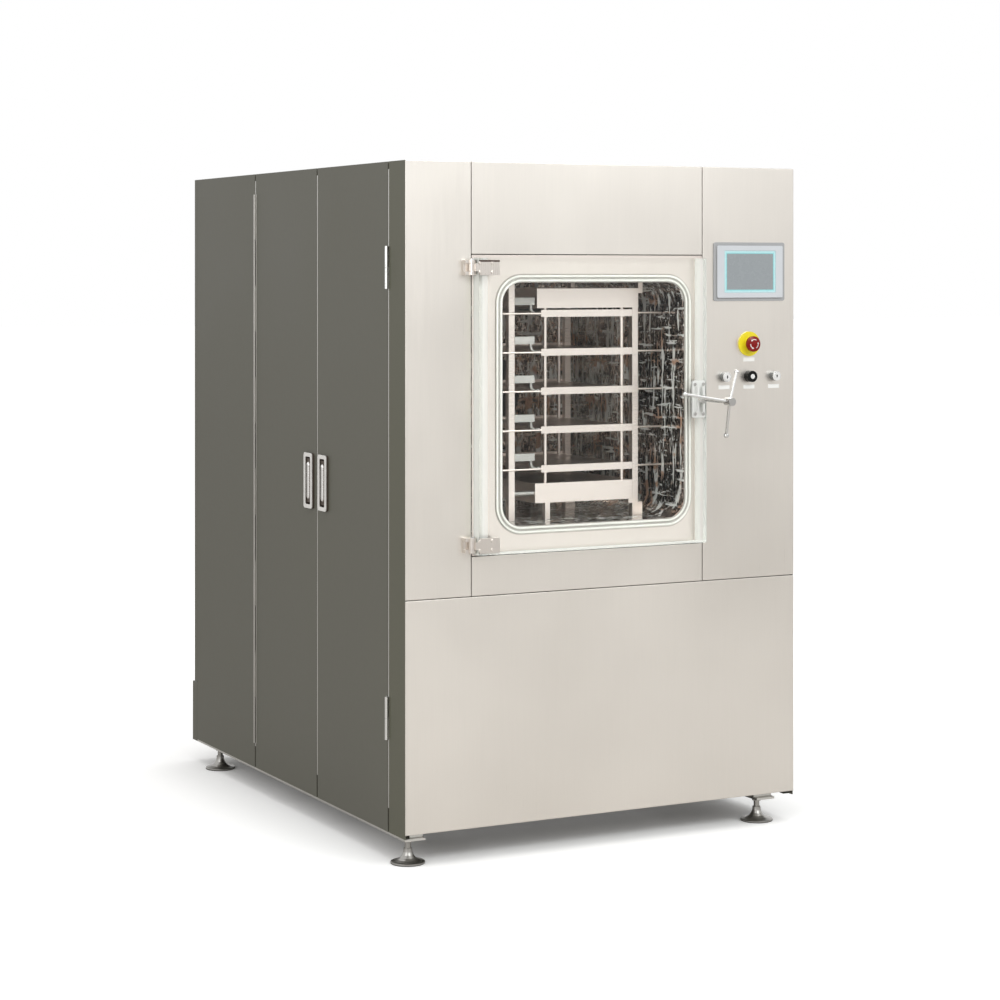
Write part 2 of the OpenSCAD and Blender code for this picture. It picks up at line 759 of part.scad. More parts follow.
// Lever with its two trunnions in the dish walls
module latch_lever(y) translate([0, y, latch_z]) {
    lever_w = latch_w - 2 * latch_rim - 6;
    lever_l = latch_h - 2 * latch_rim - 10;
    translate([-lever_t / 2, 0, 0]) rotate([0, 90, 0])
        linear_extrude(lever_t) round_rect(lever_l, lever_w, 3);
    translate([0, -latch_w / 2 + latch_rim - 3, latch_pivot_up]) rotate([-90, 0, 0])
        cylinder(d = trunnion_d, h = latch_w - 2 * latch_rim + 6);
}

module latch_dish_front() color("silver") in_cabinet() latch_dish(latch_a_y);
module latch_lever_front() color("whitesmoke") in_cabinet() latch_lever(latch_a_y);
module latch_dish_rear() color("silver") in_cabinet() latch_dish(latch_b_y);
module latch_lever_rear() color("whitesmoke") in_cabinet() latch_lever(latch_b_y);

// ---- chamber ----

module opening_shape(grow) round_rect(open_w + 2 * grow, open_h + 2 * grow, open_r + grow);

module chamber_vessel() color("lightgray") in_cabinet() difference() {
    union() {
        translate([flange_x + seam / 2, 0, flange_z + seam / 2])
            cube([flange_w - seam, flange_t, flange_h - seam]);
        translate([open_x, 0, open_z]) forward(shell_back + chamber_wall, shell_back + chamber_wall - eps)
            opening_shape(chamber_wall);
        for (x = [-1, 1], y = vessel_foot_y)
            bar(open_x + x * open_w * 0.35 - vessel_foot_w / 2, y, beam_top, vessel_foot_w, vessel_foot_w,
                open_z - shell_h / 2 + 2 - beam_top);
    }
    translate([open_x, 0, open_z]) {
        forward(shell_back, shell_back + 1) opening_shape(0);
        forward(groove_d, groove_d + 1) difference() {
            opening_shape(gasket_land + gasket_w + 0.3);
            opening_shape(gasket_land - 0.3);
        }
    }
    rod_y(open_x, shell_back - 1, open_z, port_d, chamber_wall + 2);
    rod_y(clamp_x, -1, clamp_z, socket_d, flange_t - 5);
}

// Gasket with two lips, its face just short of the closed door
module chamber_gasket() color("white") in_cabinet() translate([open_x, 0, open_z]) {
    face_out = door_gap - soft_gap;
    lip_w = (gasket_w - lip_groove_w) / 2;
    forward(groove_d, groove_d + face_out - 2) difference() {
        opening_shape(gasket_land + gasket_w);
        opening_shape(gasket_land);
    }
    for (in = [gasket_land, gasket_land + gasket_w - lip_w])
        forward(-face_out + 2 + eps, 2 + eps) difference() {
            opening_shape(in + lip_w);
            opening_shape(in);
        }
}

module chamber_foam() color("khaki") in_cabinet() difference() {
    translate([open_x, 0, open_z]) forward(shell_back + chamber_wall + foam_t,
        shell_back + chamber_wall + foam_t - flange_t - 1) opening_shape(chamber_wall + foam_t);
    translate([open_x, 0, open_z])
        forward(shell_back + chamber_wall, shell_back + chamber_wall) opening_shape(chamber_wall);
    rod_y(open_x, shell_back, open_z, port_d + 40, chamber_wall + foam_t + 2);
    for (x = [-1, 1], y = vessel_foot_y)
        bar(open_x + x * open_w * 0.35 - vessel_foot_w / 2 - 2, y - 2, beam_top - 10,
            vessel_foot_w + 4, vessel_foot_w + 4, foam_t + 80);
    for (y = [post_y[1], post_y[2]])
        bar(0, y - 2, beam_top - tube, cab_w, tube + 4, tube + 1);
}

// ---- chamber door and its hinges ----

module chamber_door() color("lightcyan", 0.35) in_cabinet() difference() {
    translate([door_x, door_face, door_z]) cube([door_w, door_t, door_h]);
    rod_y(clamp_x, door_face - 1, clamp_z, screw_d + 4, door_t + 2);
}

// Fixed half: a foot plate on the front with a lug above and below the moving knuckle
module door_hinge_brackets() color("white") in_cabinet() for (z = hinge_z) difference() {
    union() {
        bar(hinge_x - knuckle_d, -hinge_foot_t, z, 1.4 * knuckle_d, hinge_foot_t, hinge_h);
        for (lug_z = [z, z + hinge_h - hinge_lug_h]) {
            translate([hinge_x, hinge_y, lug_z]) cylinder(d = knuckle_d, h = hinge_lug_h);
            bar(hinge_x - knuckle_d, hinge_y, lug_z, knuckle_d, -hinge_y, hinge_lug_h);
        }
    }
    translate([hinge_x, hinge_y, z - 1]) cylinder(d = hinge_pin_d, h = hinge_h + 2);
}

// Moving half: the knuckle between the lugs and the plate on the door's face
module door_hinge_blocks() color("white") in_cabinet() for (z = hinge_z) {
    moving_z = z + hinge_lug_h + hinge_split;
    plate_x = door_x + 1.5;
    difference() {
        union() {
            translate([hinge_x, hinge_y, moving_z]) cylinder(d = knuckle_d, h = moving_h);
            bar(hinge_x, door_face - hinge_plate_t, moving_z, knuckle_d / 2,
                door_t / 2 + hinge_plate_t, moving_h);
        }
        translate([hinge_x, hinge_y, moving_z - 1]) cylinder(d = hinge_pin_d + 2 * run, h = moving_h + 2);
    }
    bar(hinge_x + knuckle_d / 2 - eps, door_face - hinge_plate_t, moving_z,
        plate_x - hinge_x - knuckle_d / 2 + 2 * eps, hinge_plate_t, moving_h);
    bar(plate_x, door_face - hinge_plate_t, z, hinge_plate_w, hinge_plate_t, hinge_h);
}

module door_hinge_pins() color("silver") in_cabinet() for (z = hinge_z) translate([hinge_x, hinge_y, z]) {
    head_h = 4;
    cylinder(d = hinge_pin_d, h = hinge_h + head_h);
    translate([0, 0, hinge_h]) cylinder(d = hinge_pin_d * 1.6, h = head_h);
}

// ---- clamp ----

module bracket_holes() for (x = [-1, 1], z = [-1, 1])
    translate([clamp_x + x * (bracket_w / 2 - 7), 0, clamp_z + z * (bracket_h / 2 - 10)]) children();

module clamp_bracket() color("white") in_cabinet() difference() {
    union() {
        translate([clamp_x, 0, clamp_z]) forward(door_face, bracket_t) round_rect(bracket_w, bracket_h, 5);
        for (x = [-1, 1])
            bar(clamp_x + x * 9 - 3, bracket_face - boss_out, clamp_z - bracket_h / 2 + 16, 6, boss_out + eps,
                bracket_h - 32);
    }
    rod_y(clamp_x, bracket_face - boss_out, clamp_z, screw_d + 2 * run, boss_out + bracket_t + 1);
    bracket_holes() rod_y(0, bracket_face - 1, 0, 5.2, bracket_t + 2);
}

module clamp_bracket_screws() color("silver") in_cabinet() bracket_holes() {
    rod_y(0, bracket_face, 0, 5, bracket_t - eps);
    rod_y(0, bracket_face - 3, 0, 9, 3);
}

module clamp_collar() color("silver") in_cabinet() difference() {
    rod_y(clamp_x, bracket_face - boss_out - collar_l, clamp_z, screw_d + 12, collar_l);
    rod_y(clamp_x, bracket_face - boss_out - collar_l - 1, clamp_z, screw_d + 2 * run, collar_l + 2);
}

module clamp_handle() color("silver") in_cabinet() {
    end_y = door_face - screw_out;
    hub_l = 30;
    arm_angles = [49, 169, 289];
    rod_y(clamp_x, end_y, clamp_z, screw_d, screw_out - door_face + clamp_tip);
    rod_y(clamp_x, end_y, clamp_z, screw_d + 12, hub_l);
    translate([clamp_x, end_y + hub_l / 2, clamp_z]) for (a = arm_angles)
        rotate([0, -a, 0]) rotate([0, 0, atan2(arm_sweep, arm_reach)]) {
            arm_l = sqrt(pow(arm_sweep, 2) + pow(arm_reach, 2));
            rotate([0, 90, 0]) cylinder(d = arm_d, h = arm_l);
            translate([arm_l, 0, 0]) sphere(d = ball_d);
        }
}

// ---- controls ----

module touch_panel() color("lightsteelblue") in_cabinet() translate([control_mid, 0, panel_z]) difference() {
    union() {
        forward(0, panel_rim_t) round_rect(panel_w, panel_h, 6);
        forward(0, panel_out) round_rect(panel_w - 2 * panel_rim_w, panel_h - 2 * panel_rim_w, 4);
        forward(control_space - 5, control_space - 5 + eps) square([panel_w - 22, panel_h - 22], center = true);
    }
    forward(-panel_out + 3, 4) round_rect(screen_w, screen_h, 3);
}

module touch_screen() color("slategray") in_cabinet() translate([control_mid, 0, panel_z])
    forward(-panel_out + 3, 2) round_rect(screen_w - 0.4, screen_h - 0.4, 3);

module estop_body() color("gold") in_cabinet() difference() {
    union() {
        rod_y(control_mid, -estop_plate_t, estop_z, estop_d, estop_plate_t);
        rod_y(control_mid, -estop_boss_out, estop_z, 2 * estop_stem_d, estop_boss_out - estop_plate_t + eps);
        rod_y(control_mid, -eps, estop_z, device_d, device_depth - 2);
    }
    rod_y(control_mid, -estop_boss_out - 1, estop_z, estop_stem_d + 2 * run, estop_boss_out + 15);
}

// Mushroom head with a domed face on its stem
module estop_button() color("red") in_cabinet() translate([control_mid, 0, estop_z]) rotate([90, 0, 0]) {
    cap_t = 12;
    dome_r = 60;
    cap_out = estop_boss_out + estop_travel + 1;
    translate([0, 0, cap_out]) intersection() {
        cylinder(d = mushroom_d, h = cap_t);
        translate([0, 0, cap_t - dome_r]) sphere(r = dome_r);
    }
    translate([0, 0, -4]) cylinder(d = estop_stem_d, h = cap_out + 5);
}

module key_switch_bodies() color("silver") in_cabinet() for (i = [-1, 1]) difference() {
    union() {
        rod_y(control_mid + i * switch_pitch, -key_out, switch_z, key_d, key_out);
        rod_y(control_mid + i * switch_pitch, -eps, switch_z, device_d, device_depth);
    }
    rod_y(control_mid + i * switch_pitch, -key_out - 1, switch_z, key_bore + 2 * run, key_depth + 1.5);
}

// Lock barrel with its keyhole
module key_barrel(i) difference() {
    rod_y(control_mid + i * switch_pitch, -key_out - 1, switch_z, key_bore, key_depth + 1);
    bar(control_mid + i * switch_pitch - 1, -key_out - 2, switch_z - 5, 2, 8, 10);
    rod_y(control_mid + i * switch_pitch, -key_out - 2, switch_z, 5, 8);
}

module key_barrel_left() color("whitesmoke") in_cabinet() key_barrel(-1);
module key_barrel_right() color("whitesmoke") in_cabinet() key_barrel(1);

module selector_body() color("black") in_cabinet() difference() {
    union() {
        rod_y(control_mid, -selector_out, switch_z, selector_d, selector_out);
        rod_y(control_mid, -eps, switch_z, device_d, device_depth);
    }
    rod_y(control_mid, -selector_out - 1, switch_z, rotor_d + 2 * run, rotor_depth + 1);
}

module selector_rotor() color("silver") in_cabinet() difference() {
    rod_y(control_mid, -selector_out - 1, switch_z, rotor_d, rotor_depth + 0.5);
    bar(control_mid - 1, -selector_out - 2, switch_z - 3, 2, 6, 6);
}

// Blank plates under the emergency stop and under each switch
module label_plates() color("white") in_cabinet() {
    translate([control_mid, 0, estop_z - estop_d / 2 - label_h / 2 - 4])
        forward(0, 1) square([label_w, label_h], center = true);
    for (i = [-1:1])
        translate([control_mid + i * switch_pitch, 0, switch_z - selector_d / 2 - label_h / 2 - 8])
            forward(0, 1) square([label_w, label_h], center = true);
}

// ---- shelf stack ----

function shelf_z(i) = chamber_floor + first_shelf_up + i * shelf_pitch;

// Shelf plate with its front lip and the ports of its fluid channel on the left edge
module shelf() {
    bar(shelf_x, stack_y, -lip_h / 2, shelf_w, sheet, lip_h);
    bar(shelf_x, stack_y, -shelf_t / 2, shelf_w, shelf_d, shelf_t);
    bar(shelf_x, stack_y + shelf_d - sheet, -shelf_t / 2, shelf_w, sheet, lip_h);
}

module product_shelves() color("gainsboro") in_cabinet()
    for (i = [0:shelf_count - 1]) translate([0, 0, shelf_z(i)]) difference() {
        shelf();
        for (x = rod_places_x, y = rod_places_y) translate([x, y, -lip_h]) cylinder(d = rod_d + 0.6, h = 2 * lip_h);
    }

// Folded plate of one end of the stack, its hollow turned away from the shelves
module end_plate(x, z, w, hollow_z) difference() {
    bar(x, stack_y, z, w, shelf_d, end_plate_h);
    bar(x + 3, stack_y + 3, z + hollow_z, w - 6, shelf_d - 6, end_plate_h - 2);
}

module stack_plates() color("gainsboro") in_cabinet() {
    end_plate(bottom_plate_x, bottom_plate_z, bottom_plate_w, -1);
    end_plate(top_plate_x, top_plate_z, top_plate_w, 3);
}

// Left posts from floor to ceiling, which are also the manifolds of the hoses, and right posts
// under the top plate, with the legs and lugs of the bottom plate, the guide rods and the hanging rods
module stack_posts() color("silver") in_cabinet() {
    wall_gap = 1;
    shoe_w = 14;
    shoe_h = 36;
    cleat_h = 30;
    lug = 12;
    for (y = [stack_y, post_back_y]) {
        bar(left_post_x, y, chamber_floor, post_w, post_w, open_h);
        bar(right_post_x, y, chamber_floor, post_w, post_w, top_plate_z - chamber_floor);
        bar(right_post_x + post_w - eps, y, chamber_floor, shoe_w, post_w, shoe_h);
        bar(right_post_x - lug, y, bottom_plate_z - lug, lug + eps, post_w, lug);
        bar(right_post_x + post_w + 1, y, chamber_floor + open_h - cleat_h, shoe_w, post_w, cleat_h);
    }
    for (y = [stack_y, stack_y + shelf_d - leg_w])
        bar(shelf_x + lug, y, chamber_floor, leg_w, leg_w, bottom_plate_z - chamber_floor);
    for (i = [0:shelf_count - 1]) {
        rod_x(open_x - open_w / 2 + wall_gap, stack_y - 1, shelf_z(i), guide_d, stack_left + post_w + post_gap_left
            - 2 * wall_gap);
        rod_x(right_post_x + post_w - eps, stack_y - 1, shelf_z(i), guide_d, stack_right - wall_gap);
    }
    for (x = rod_places_x, y = rod_places_y) {
        translate([x, y, bottom_plate_z + end_plate_h])
            cylinder(d = rod_d, h = top_plate_z - bottom_plate_z - end_plate_h);
        for (i = [0:shelf_count - 1]) translate([x, y, shelf_z(i) - shelf_t / 2 - 6])
            cylinder(d = rod_d + 6, h = 6);
    }
}

// One braided hose from a post's manifold fitting down to the left edge of a shelf
module shelf_hose(y, z) {
    translate([shelf_x, y, z]) {
        rotate([0, -90, 0]) cylinder(d = hose_d + 3, h = fitting_l);
        translate([-fitting_l, 0, bend_r]) rotate([90, 0, 0])
            rotate_extrude(angle = 90, start = 180) translate([bend_r, 0]) circle(d = hose_d);
        translate([-fitting_l - bend_r, 0, bend_r]) cylinder(d = hose_d, h = manifold_up - bend_r);
    }
    bar(left_post_x + post_w, y - manifold_h / 2, z + manifold_up - manifold_h / 2,
        elbow_x + hose_d / 2 + 2 - left_post_x - post_w, manifold_h, manifold_h);
}

// Feed hoses on the front left post, return hoses on the rear left post
module shelf_hoses() color("silver") in_cabinet() for (y = [stack_y, post_back_y]) {
    for (i = [0:shelf_count - 1]) shelf_hose(y + post_w / 2, shelf_z(i));
    rod_x(left_post_x + post_w, y + post_w / 2, bottom_plate_z + end_plate_h / 2, hose_d + 3,
        bottom_plate_x - left_post_x - post_w);
}

// ---- plant ----

module cold_trap() color("lightgray") in_cabinet() {
    difference() {
        union() {
            rod_y(open_x, trap_y, trap_z, trap_d, trap_l);
            rod_y(open_x, shell_back + chamber_wall, trap_z, port_d + 12, trap_y - shell_back);
        }
        rod_y(open_x, trap_y + trap_wall, trap_z, trap_d - 2 * trap_wall, trap_l - 2 * trap_wall);
        rod_y(open_x, shell_back, trap_z, port_d, trap_y - shell_back + trap_wall + 10);
    }
    difference() {
        bar(open_x - trap_d * 0.4, post_y[3] - 10, beam_top, trap_d * 0.8, vessel_foot_w, trap_z - beam_top);
        rod_y(open_x, trap_y - 1, trap_z, trap_d, trap_l + 2);
    }
}

// Coil turns inside the trap, strung on four support bars
module trap_coil() color("peru") in_cabinet() {
    tube_d = 16;
    bar_d = 18;
    end_in = 60;
    step = (trap_l - 2 * end_in) / (coil_turns - 1);
    bar_r = coil_d / 2 + tube_d;
    for (i = [0:coil_turns - 1])
        translate([open_x, trap_y + end_in + i * step, trap_z]) rotate([90, 0, 0])
            rotate_extrude() translate([coil_d / 2, 0]) circle(d = tube_d);
    for (a = [45, 135, 225, 315])
        rod_y(open_x + cos(a) * bar_r, trap_y + trap_wall, trap_z + sin(a) * bar_r,
            bar_d, trap_l - 2 * trap_wall);
}

// Semi-hermetic compressor lying along y: motor barrel, end covers, two cylinder heads and feet
module compressor(y) translate([compressor_x, y, deck_z]) {
    r = compressor_d / 2;
    axis_z = r + 34;
    head_h = r * 0.75;
    cover_t = 14;
    bank_l = 104;
    rib_out = 8;
    box_l = 100;
    foot_w = 44;
    foot_l = 30;
    rail_t = 12;
    rod_y(0, cover_t, axis_z, compressor_d, compressor_l - 2 * cover_t);
    for (at = [0, compressor_l - cover_t]) rod_y(0, at, axis_z, compressor_d + 22, cover_t);
    rod_y(0, -16, axis_z, compressor_d * 0.6, 17);
    for (lean = [-35, 35]) translate([0, compressor_l * 0.3, axis_z]) rotate([0, lean, 0]) {
        translate([-r * 0.38, -bank_l / 2, 0]) cube([r * 0.76, bank_l, r + head_h * 0.6]);
        for (i = [0:3])
            translate([-r * 0.46, -bank_l / 2 - rib_out, r + head_h * (0.1 + 0.14 * i)])
                cube([r * 0.92, bank_l + 2 * rib_out, head_h * 0.07]);
    }
    translate([-r * 0.5, compressor_l * 0.62, axis_z]) cube([r, box_l, r + 42]);
    for (x = [-1, 1], at = [40, compressor_l - foot_l - 40])
        translate([x * r * 0.7 - foot_w / 2, at, 0]) cube([foot_w, foot_l, axis_z - r * 0.55]);
    translate([-r, foot_l, 0]) cube([2 * r, rail_t, rail_t]);
    rod_y(-r * 0.3, compressor_l - 1, axis_z + r * 0.4, 34, 46);
    translate([r * 0.55, compressor_l * 0.5, axis_z + r * 0.5]) cylinder(d = 24, h = r + 10);
}

module compressors() color("darkslategray") in_cabinet()
    for (y = [cross_y[0] + 60, cross_y[0] + 60 + compressor_l + 120]) compressor(y);

module air_condenser() color("darkgray") in_cabinet() {
    difference() {
        bar(condenser_x, condenser_y, condenser_z, condenser_w, condenser_t, condenser_h);
        for (x = [condenser_x + 24:fin_pitch:condenser_x + condenser_w - 30])
            bar(x, condenser_y - 1, condenser_z + 16, fin_pitch * 0.6, condenser_t * 0.7, condenser_h - 32);
    }
    for (x = [condenser_x - 10, condenser_x + condenser_w + 10], y = [condenser_y + 18])
        translate([x, y, condenser_z + 20]) cylinder(d = 28, h = condenser_h - 40);
}

// Shroud with the fan ring, the motor on its spider arms and the motor shaft
module fan_shroud() color("dimgray") in_cabinet() {
    ring_back = condenser_y + condenser_t + shroud_d;
    difference() {
        union() {
            difference() {
                bar(condenser_x, condenser_y + condenser_t, condenser_z, condenser_w, shroud_d, condenser_h);
                bar(condenser_x + sheet, condenser_y + condenser_t - 1, condenser_z + sheet,
                    condenser_w - 2 * sheet, shroud_d - 14, condenser_h - 2 * sheet);
            }
            rod_y(fan_x, ring_back - 30, fan_z, fan_d + 24, 36);
        }
        rod_y(fan_x, condenser_y, fan_z, fan_d + 16, condenser_t + shroud_d + 10);
    }
    for (a = [0:120:240]) translate([fan_x, ring_back - 4, fan_z]) rotate([0, a, 0])
        translate([30, 0, -6]) cube([fan_d / 2 - 20, 8, 12]);
    rod_y(fan_x, ring_back - 6, fan_z, 96, 70);
    rod_y(fan_x, fan_y - fan_hub_l / 2, fan_z, motor_shaft_d, ring_back - fan_y + fan_hub_l / 2);
}

module condenser_fan() color("black") in_cabinet() difference() {
    union() {
        rod_y(fan_x, fan_y - fan_hub_l / 2, fan_z, fan_hub_d, fan_hub_l);
        for (i = [0:fan_blades - 1]) translate([fan_x, fan_y, fan_z]) rotate([0, i * 360 / fan_blades, 0])
            translate([fan_hub_d / 2 - 8, 0, 0]) rotate([28, 0, 0]) fan_blade();
    }
    rod_y(fan_x, fan_y - fan_hub_l / 2 - 1, fan_z, motor_shaft_d + 2 * run, fan_hub_l + 2);
}

// Flat blade, wider and rounder towards its tip
module fan_blade() translate([0, 1.5, 0]) rotate([90, 0, 0]) linear_extrude(3) {
    blade_l = fan_d / 2 - fan_hub_d / 2;
    intersection() {
        polygon([[0, -22], [blade_l + 8, -48], [blade_l + 8, 48], [0, 22]]);
        translate([-fan_hub_d / 2 + 8, 0]) circle(d = fan_d - 16);
    }
}

// Rotary vane vacuum pump: foot, oil case, ribbed motor, inlet elbow and mist filter
module vacuum_pump() color("steelblue") in_cabinet() translate([pump_x, pump_y, deck_z]) {
    case_w = 190;
    case_l = 200;
    case_h = 210;
    case_in = 10;
    foot_t = 12;
    rib_t = 10;
    rib_out = 6;
    rib_z = 40;
    motor_d = 170;
    motor_z = 112;
    motor_x = case_in + case_w / 2;
    neck_l = 40;
    motor_y = case_in + case_l + neck_l;
    cube([case_w + 2 * case_in, pump_l - 2 * case_in, foot_t]);
    translate([case_in, case_in, foot_t - eps]) cube([case_w, case_l, case_h]);
    for (i = [0:5]) translate([case_in - rib_out, 30 + i * 28, rib_z])
        cube([case_w + 2 * rib_out, rib_t, case_h - 60]);
    rod_y(motor_x, case_in + case_l - eps, motor_z, motor_d * 0.8, neck_l);
    rod_y(motor_x, motor_y - 2 * eps, motor_z, motor_d, pump_l - motor_y);
    for (i = [0:7]) rod_y(motor_x, motor_y + 20 + i * 22, motor_z, motor_d + 16, 6);
    translate([motor_x - 40, motor_y + case_in, motor_z]) cube([80, 90, motor_d / 2 + 34]);
    translate([50, 60, foot_t + case_h - eps]) cylinder(d = 40, h = 40);
    translate([150, 120, foot_t + case_h - eps]) cylinder(d = 70, h = 130);
    translate([60, motor_y + case_in, 0]) cube([70, 60, motor_z - motor_d / 2 + foot_t]);
}

// Mounting plate with wire ducts, rails and rows of modules, facing into the cabinet
module electrics_plate() color("lightgray") in_cabinet() {
    plate_t = 4;
    margin = 20;
    rows = 4;
    duct_d = 40;
    duct_h = 34;
    rail_d = 8;
    unit_d = 56;
    unit_w = 30;
    unit_h = 84;
    unit_pitch = 45;
    units = 8;
    plate_y = frame_front + control_space + tube + margin;
    plate_d = post_y[3] + tube - plate_y;
    plate_z = beam_top + 2 * margin;
    plate_h = top_ring_z - plate_z - margin;
    face_x = cab_w - fold_d - tube - plate_t;
    row_h = plate_h / rows;
    bar(face_x, plate_y, plate_z, plate_t, plate_d, plate_h);
    for (r = [0:rows - 1]) {
        row_z = plate_z + r * row_h;
        extra_d = 16 * (r % 2);
        bar(face_x - duct_d, plate_y + margin, row_z + 8, duct_d + eps, plate_d - 2 * margin, duct_h);
        bar(face_x - rail_d, plate_y + margin, row_z + row_h * 0.55, rail_d + eps,
            plate_d - 2 * margin, duct_h);
        for (i = [0:units - 1])
            bar(face_x - rail_d + 2 - unit_d - extra_d, plate_y + 50 + i * (unit_pitch + 18 * r),
                row_z + row_h * 0.36, unit_d + extra_d, unit_w + 16 * r, unit_h);
    }
}

base_frame();
upright_frame();
levelling_feet();
foot_nuts();
left_front_panel();
header_panel();
control_panel();
sill_panel();
lower_front_panel();
left_corner_strip();
left_rear_panel();
right_corner_strip();
right_front_panel();
right_rear_panel();
roof_panel();
rear_panel();
rear_base_cover();
side_door_front();
side_door_rear();
side_hinge_pins();
side_hinge_sleeves();
long_hinge_fixed();
long_hinge_leaf();
latch_dish_front();
latch_lever_front();
latch_dish_rear();
latch_lever_rear();
chamber_vessel();
chamber_gasket();
chamber_foam();
chamber_door();
door_hinge_brackets();
door_hinge_blocks();
door_hinge_pins();
clamp_bracket();
clamp_bracket_screws();
clamp_collar();
clamp_handle();
touch_panel();
touch_screen();
estop_body();
estop_button();
key_switch_bodies();
key_barrel_left();
key_barrel_right();
selector_body();
selector_rotor();
label_plates();
product_shelves();
stack_plates();
stack_posts();
shelf_hoses();
cold_trap();
trap_coil();
compressors();
air_condenser();
fan_shroud();
condenser_fan();
vacuum_pump();
electrics_plate();
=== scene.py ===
import bpy, bmesh, json, math
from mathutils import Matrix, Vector


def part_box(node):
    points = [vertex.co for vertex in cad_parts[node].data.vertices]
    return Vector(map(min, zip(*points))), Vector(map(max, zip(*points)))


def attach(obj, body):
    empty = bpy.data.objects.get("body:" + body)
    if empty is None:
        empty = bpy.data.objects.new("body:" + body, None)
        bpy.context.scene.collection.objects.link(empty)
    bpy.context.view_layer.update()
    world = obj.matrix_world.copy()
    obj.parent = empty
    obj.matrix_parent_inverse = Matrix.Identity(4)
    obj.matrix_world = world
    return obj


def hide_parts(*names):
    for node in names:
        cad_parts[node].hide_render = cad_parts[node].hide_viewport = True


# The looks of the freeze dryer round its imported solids: camera, materials, the pieces that only
# the looks need, stage and light. Metres; x runs right, y back from the front, z up from the floor.

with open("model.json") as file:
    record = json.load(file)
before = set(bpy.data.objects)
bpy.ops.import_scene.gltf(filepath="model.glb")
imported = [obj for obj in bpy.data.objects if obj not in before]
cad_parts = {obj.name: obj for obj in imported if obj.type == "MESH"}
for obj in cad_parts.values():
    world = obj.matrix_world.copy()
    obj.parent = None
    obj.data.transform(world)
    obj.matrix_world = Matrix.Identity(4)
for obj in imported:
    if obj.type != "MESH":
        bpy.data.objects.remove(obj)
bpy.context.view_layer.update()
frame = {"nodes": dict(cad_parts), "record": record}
nodes = frame["nodes"]
scene = bpy.context.scene
scene.view_settings.view_transform = "Standard"


# ---- camera ----

# A level view with the frame shifted, fitted on the cabinet's corners and panel seams
LENS_MM = 87.572
SENSOR_MM = 36.0
FRAME_SHIFT = -0.2274
CAMERA_AT = (-3.2673, -6.3555, 1.5344)
# Turn to the right of straight back
CAMERA_YAW = math.radians(27.403)
FAR_CLIP = 200.0


def make_camera():
    cam = bpy.data.cameras.new("camera")
    cam.lens = LENS_MM
    cam.sensor_width = SENSOR_MM
    cam.shift_y = FRAME_SHIFT
    cam.clip_end = FAR_CLIP
    obj = bpy.data.objects.new("camera", cam)
    scene.collection.objects.link(obj)
    look = Vector((math.sin(CAMERA_YAW), math.cos(CAMERA_YAW), 0.0))
    obj.location = CAMERA_AT
    obj.rotation_euler = look.to_track_quat("-Z", "Y").to_euler()
    scene.camera = obj


make_camera()


# ---- node trees ----

class Tree:
    """The node tree of a world or material, with short ways to add to it."""

    def __init__(self, owner, output):
        owner.use_nodes = True
        self.tree = owner.node_tree
        self.tree.nodes.clear()
        self.out = self.add(output)

    def add(self, kind, **settings):
        node = self.tree.nodes.new(kind)
        for key, value in settings.items():
            setattr(node, key, value)
        return node

    def link(self, a, b):
        self.tree.links.new(a, b)

    def put(self, socket, value):
        if isinstance(value, bpy.types.NodeSocket):
            self.link(value, socket)
        elif isinstance(value, tuple) and len(value) == 3 and socket.type == "RGBA":
            socket.default_value = (*value, 1.0)
        else:
            socket.default_value = value

    def feed(self, node, *values):
        """Fills a node's inputs in their order and returns its first output."""
        for socket, value in zip(node.inputs, values):
            self.put(socket, value)
        return node.outputs[0]

    def shader(self, kind, *values):
        return self.feed(self.add(kind), *values)

    def math(self, op, a, b=0.0, *c):
        return self.feed(self.add("ShaderNodeMath", operation=op), a, b, *c)

    def remap(self, value, lo, hi, to_lo=0.0, to_hi=1.0):
        return self.feed(self.add("ShaderNodeMapRange"), value, lo, hi, to_lo, to_hi)

    def blend(self, fac, a, b):
        return self.remap(fac, 0.0, 1.0, a, b)

    def mix(self, fac, a, b):
        node = self.add("ShaderNodeMix", data_type="RGBA")
        self.put(node.inputs[0], fac)
        self.put(node.inputs[6], a)
        self.put(node.inputs[7], b)
        return node.outputs[2]

    def hypot(self, a, b):
        squares = self.math("ADD", self.math("MULTIPLY", a, a), self.math("MULTIPLY", b, b))
        return self.math("SQRT", squares)

    def seen_by(self, *kinds):
        """1 for the named kinds of ray, 0 for the rest."""
        path = self.add("ShaderNodeLightPath").outputs
        total = path[kinds[0]]
        for kind in kinds[1:]:
            total = self.math("MAXIMUM", total, path[kind])
        return total


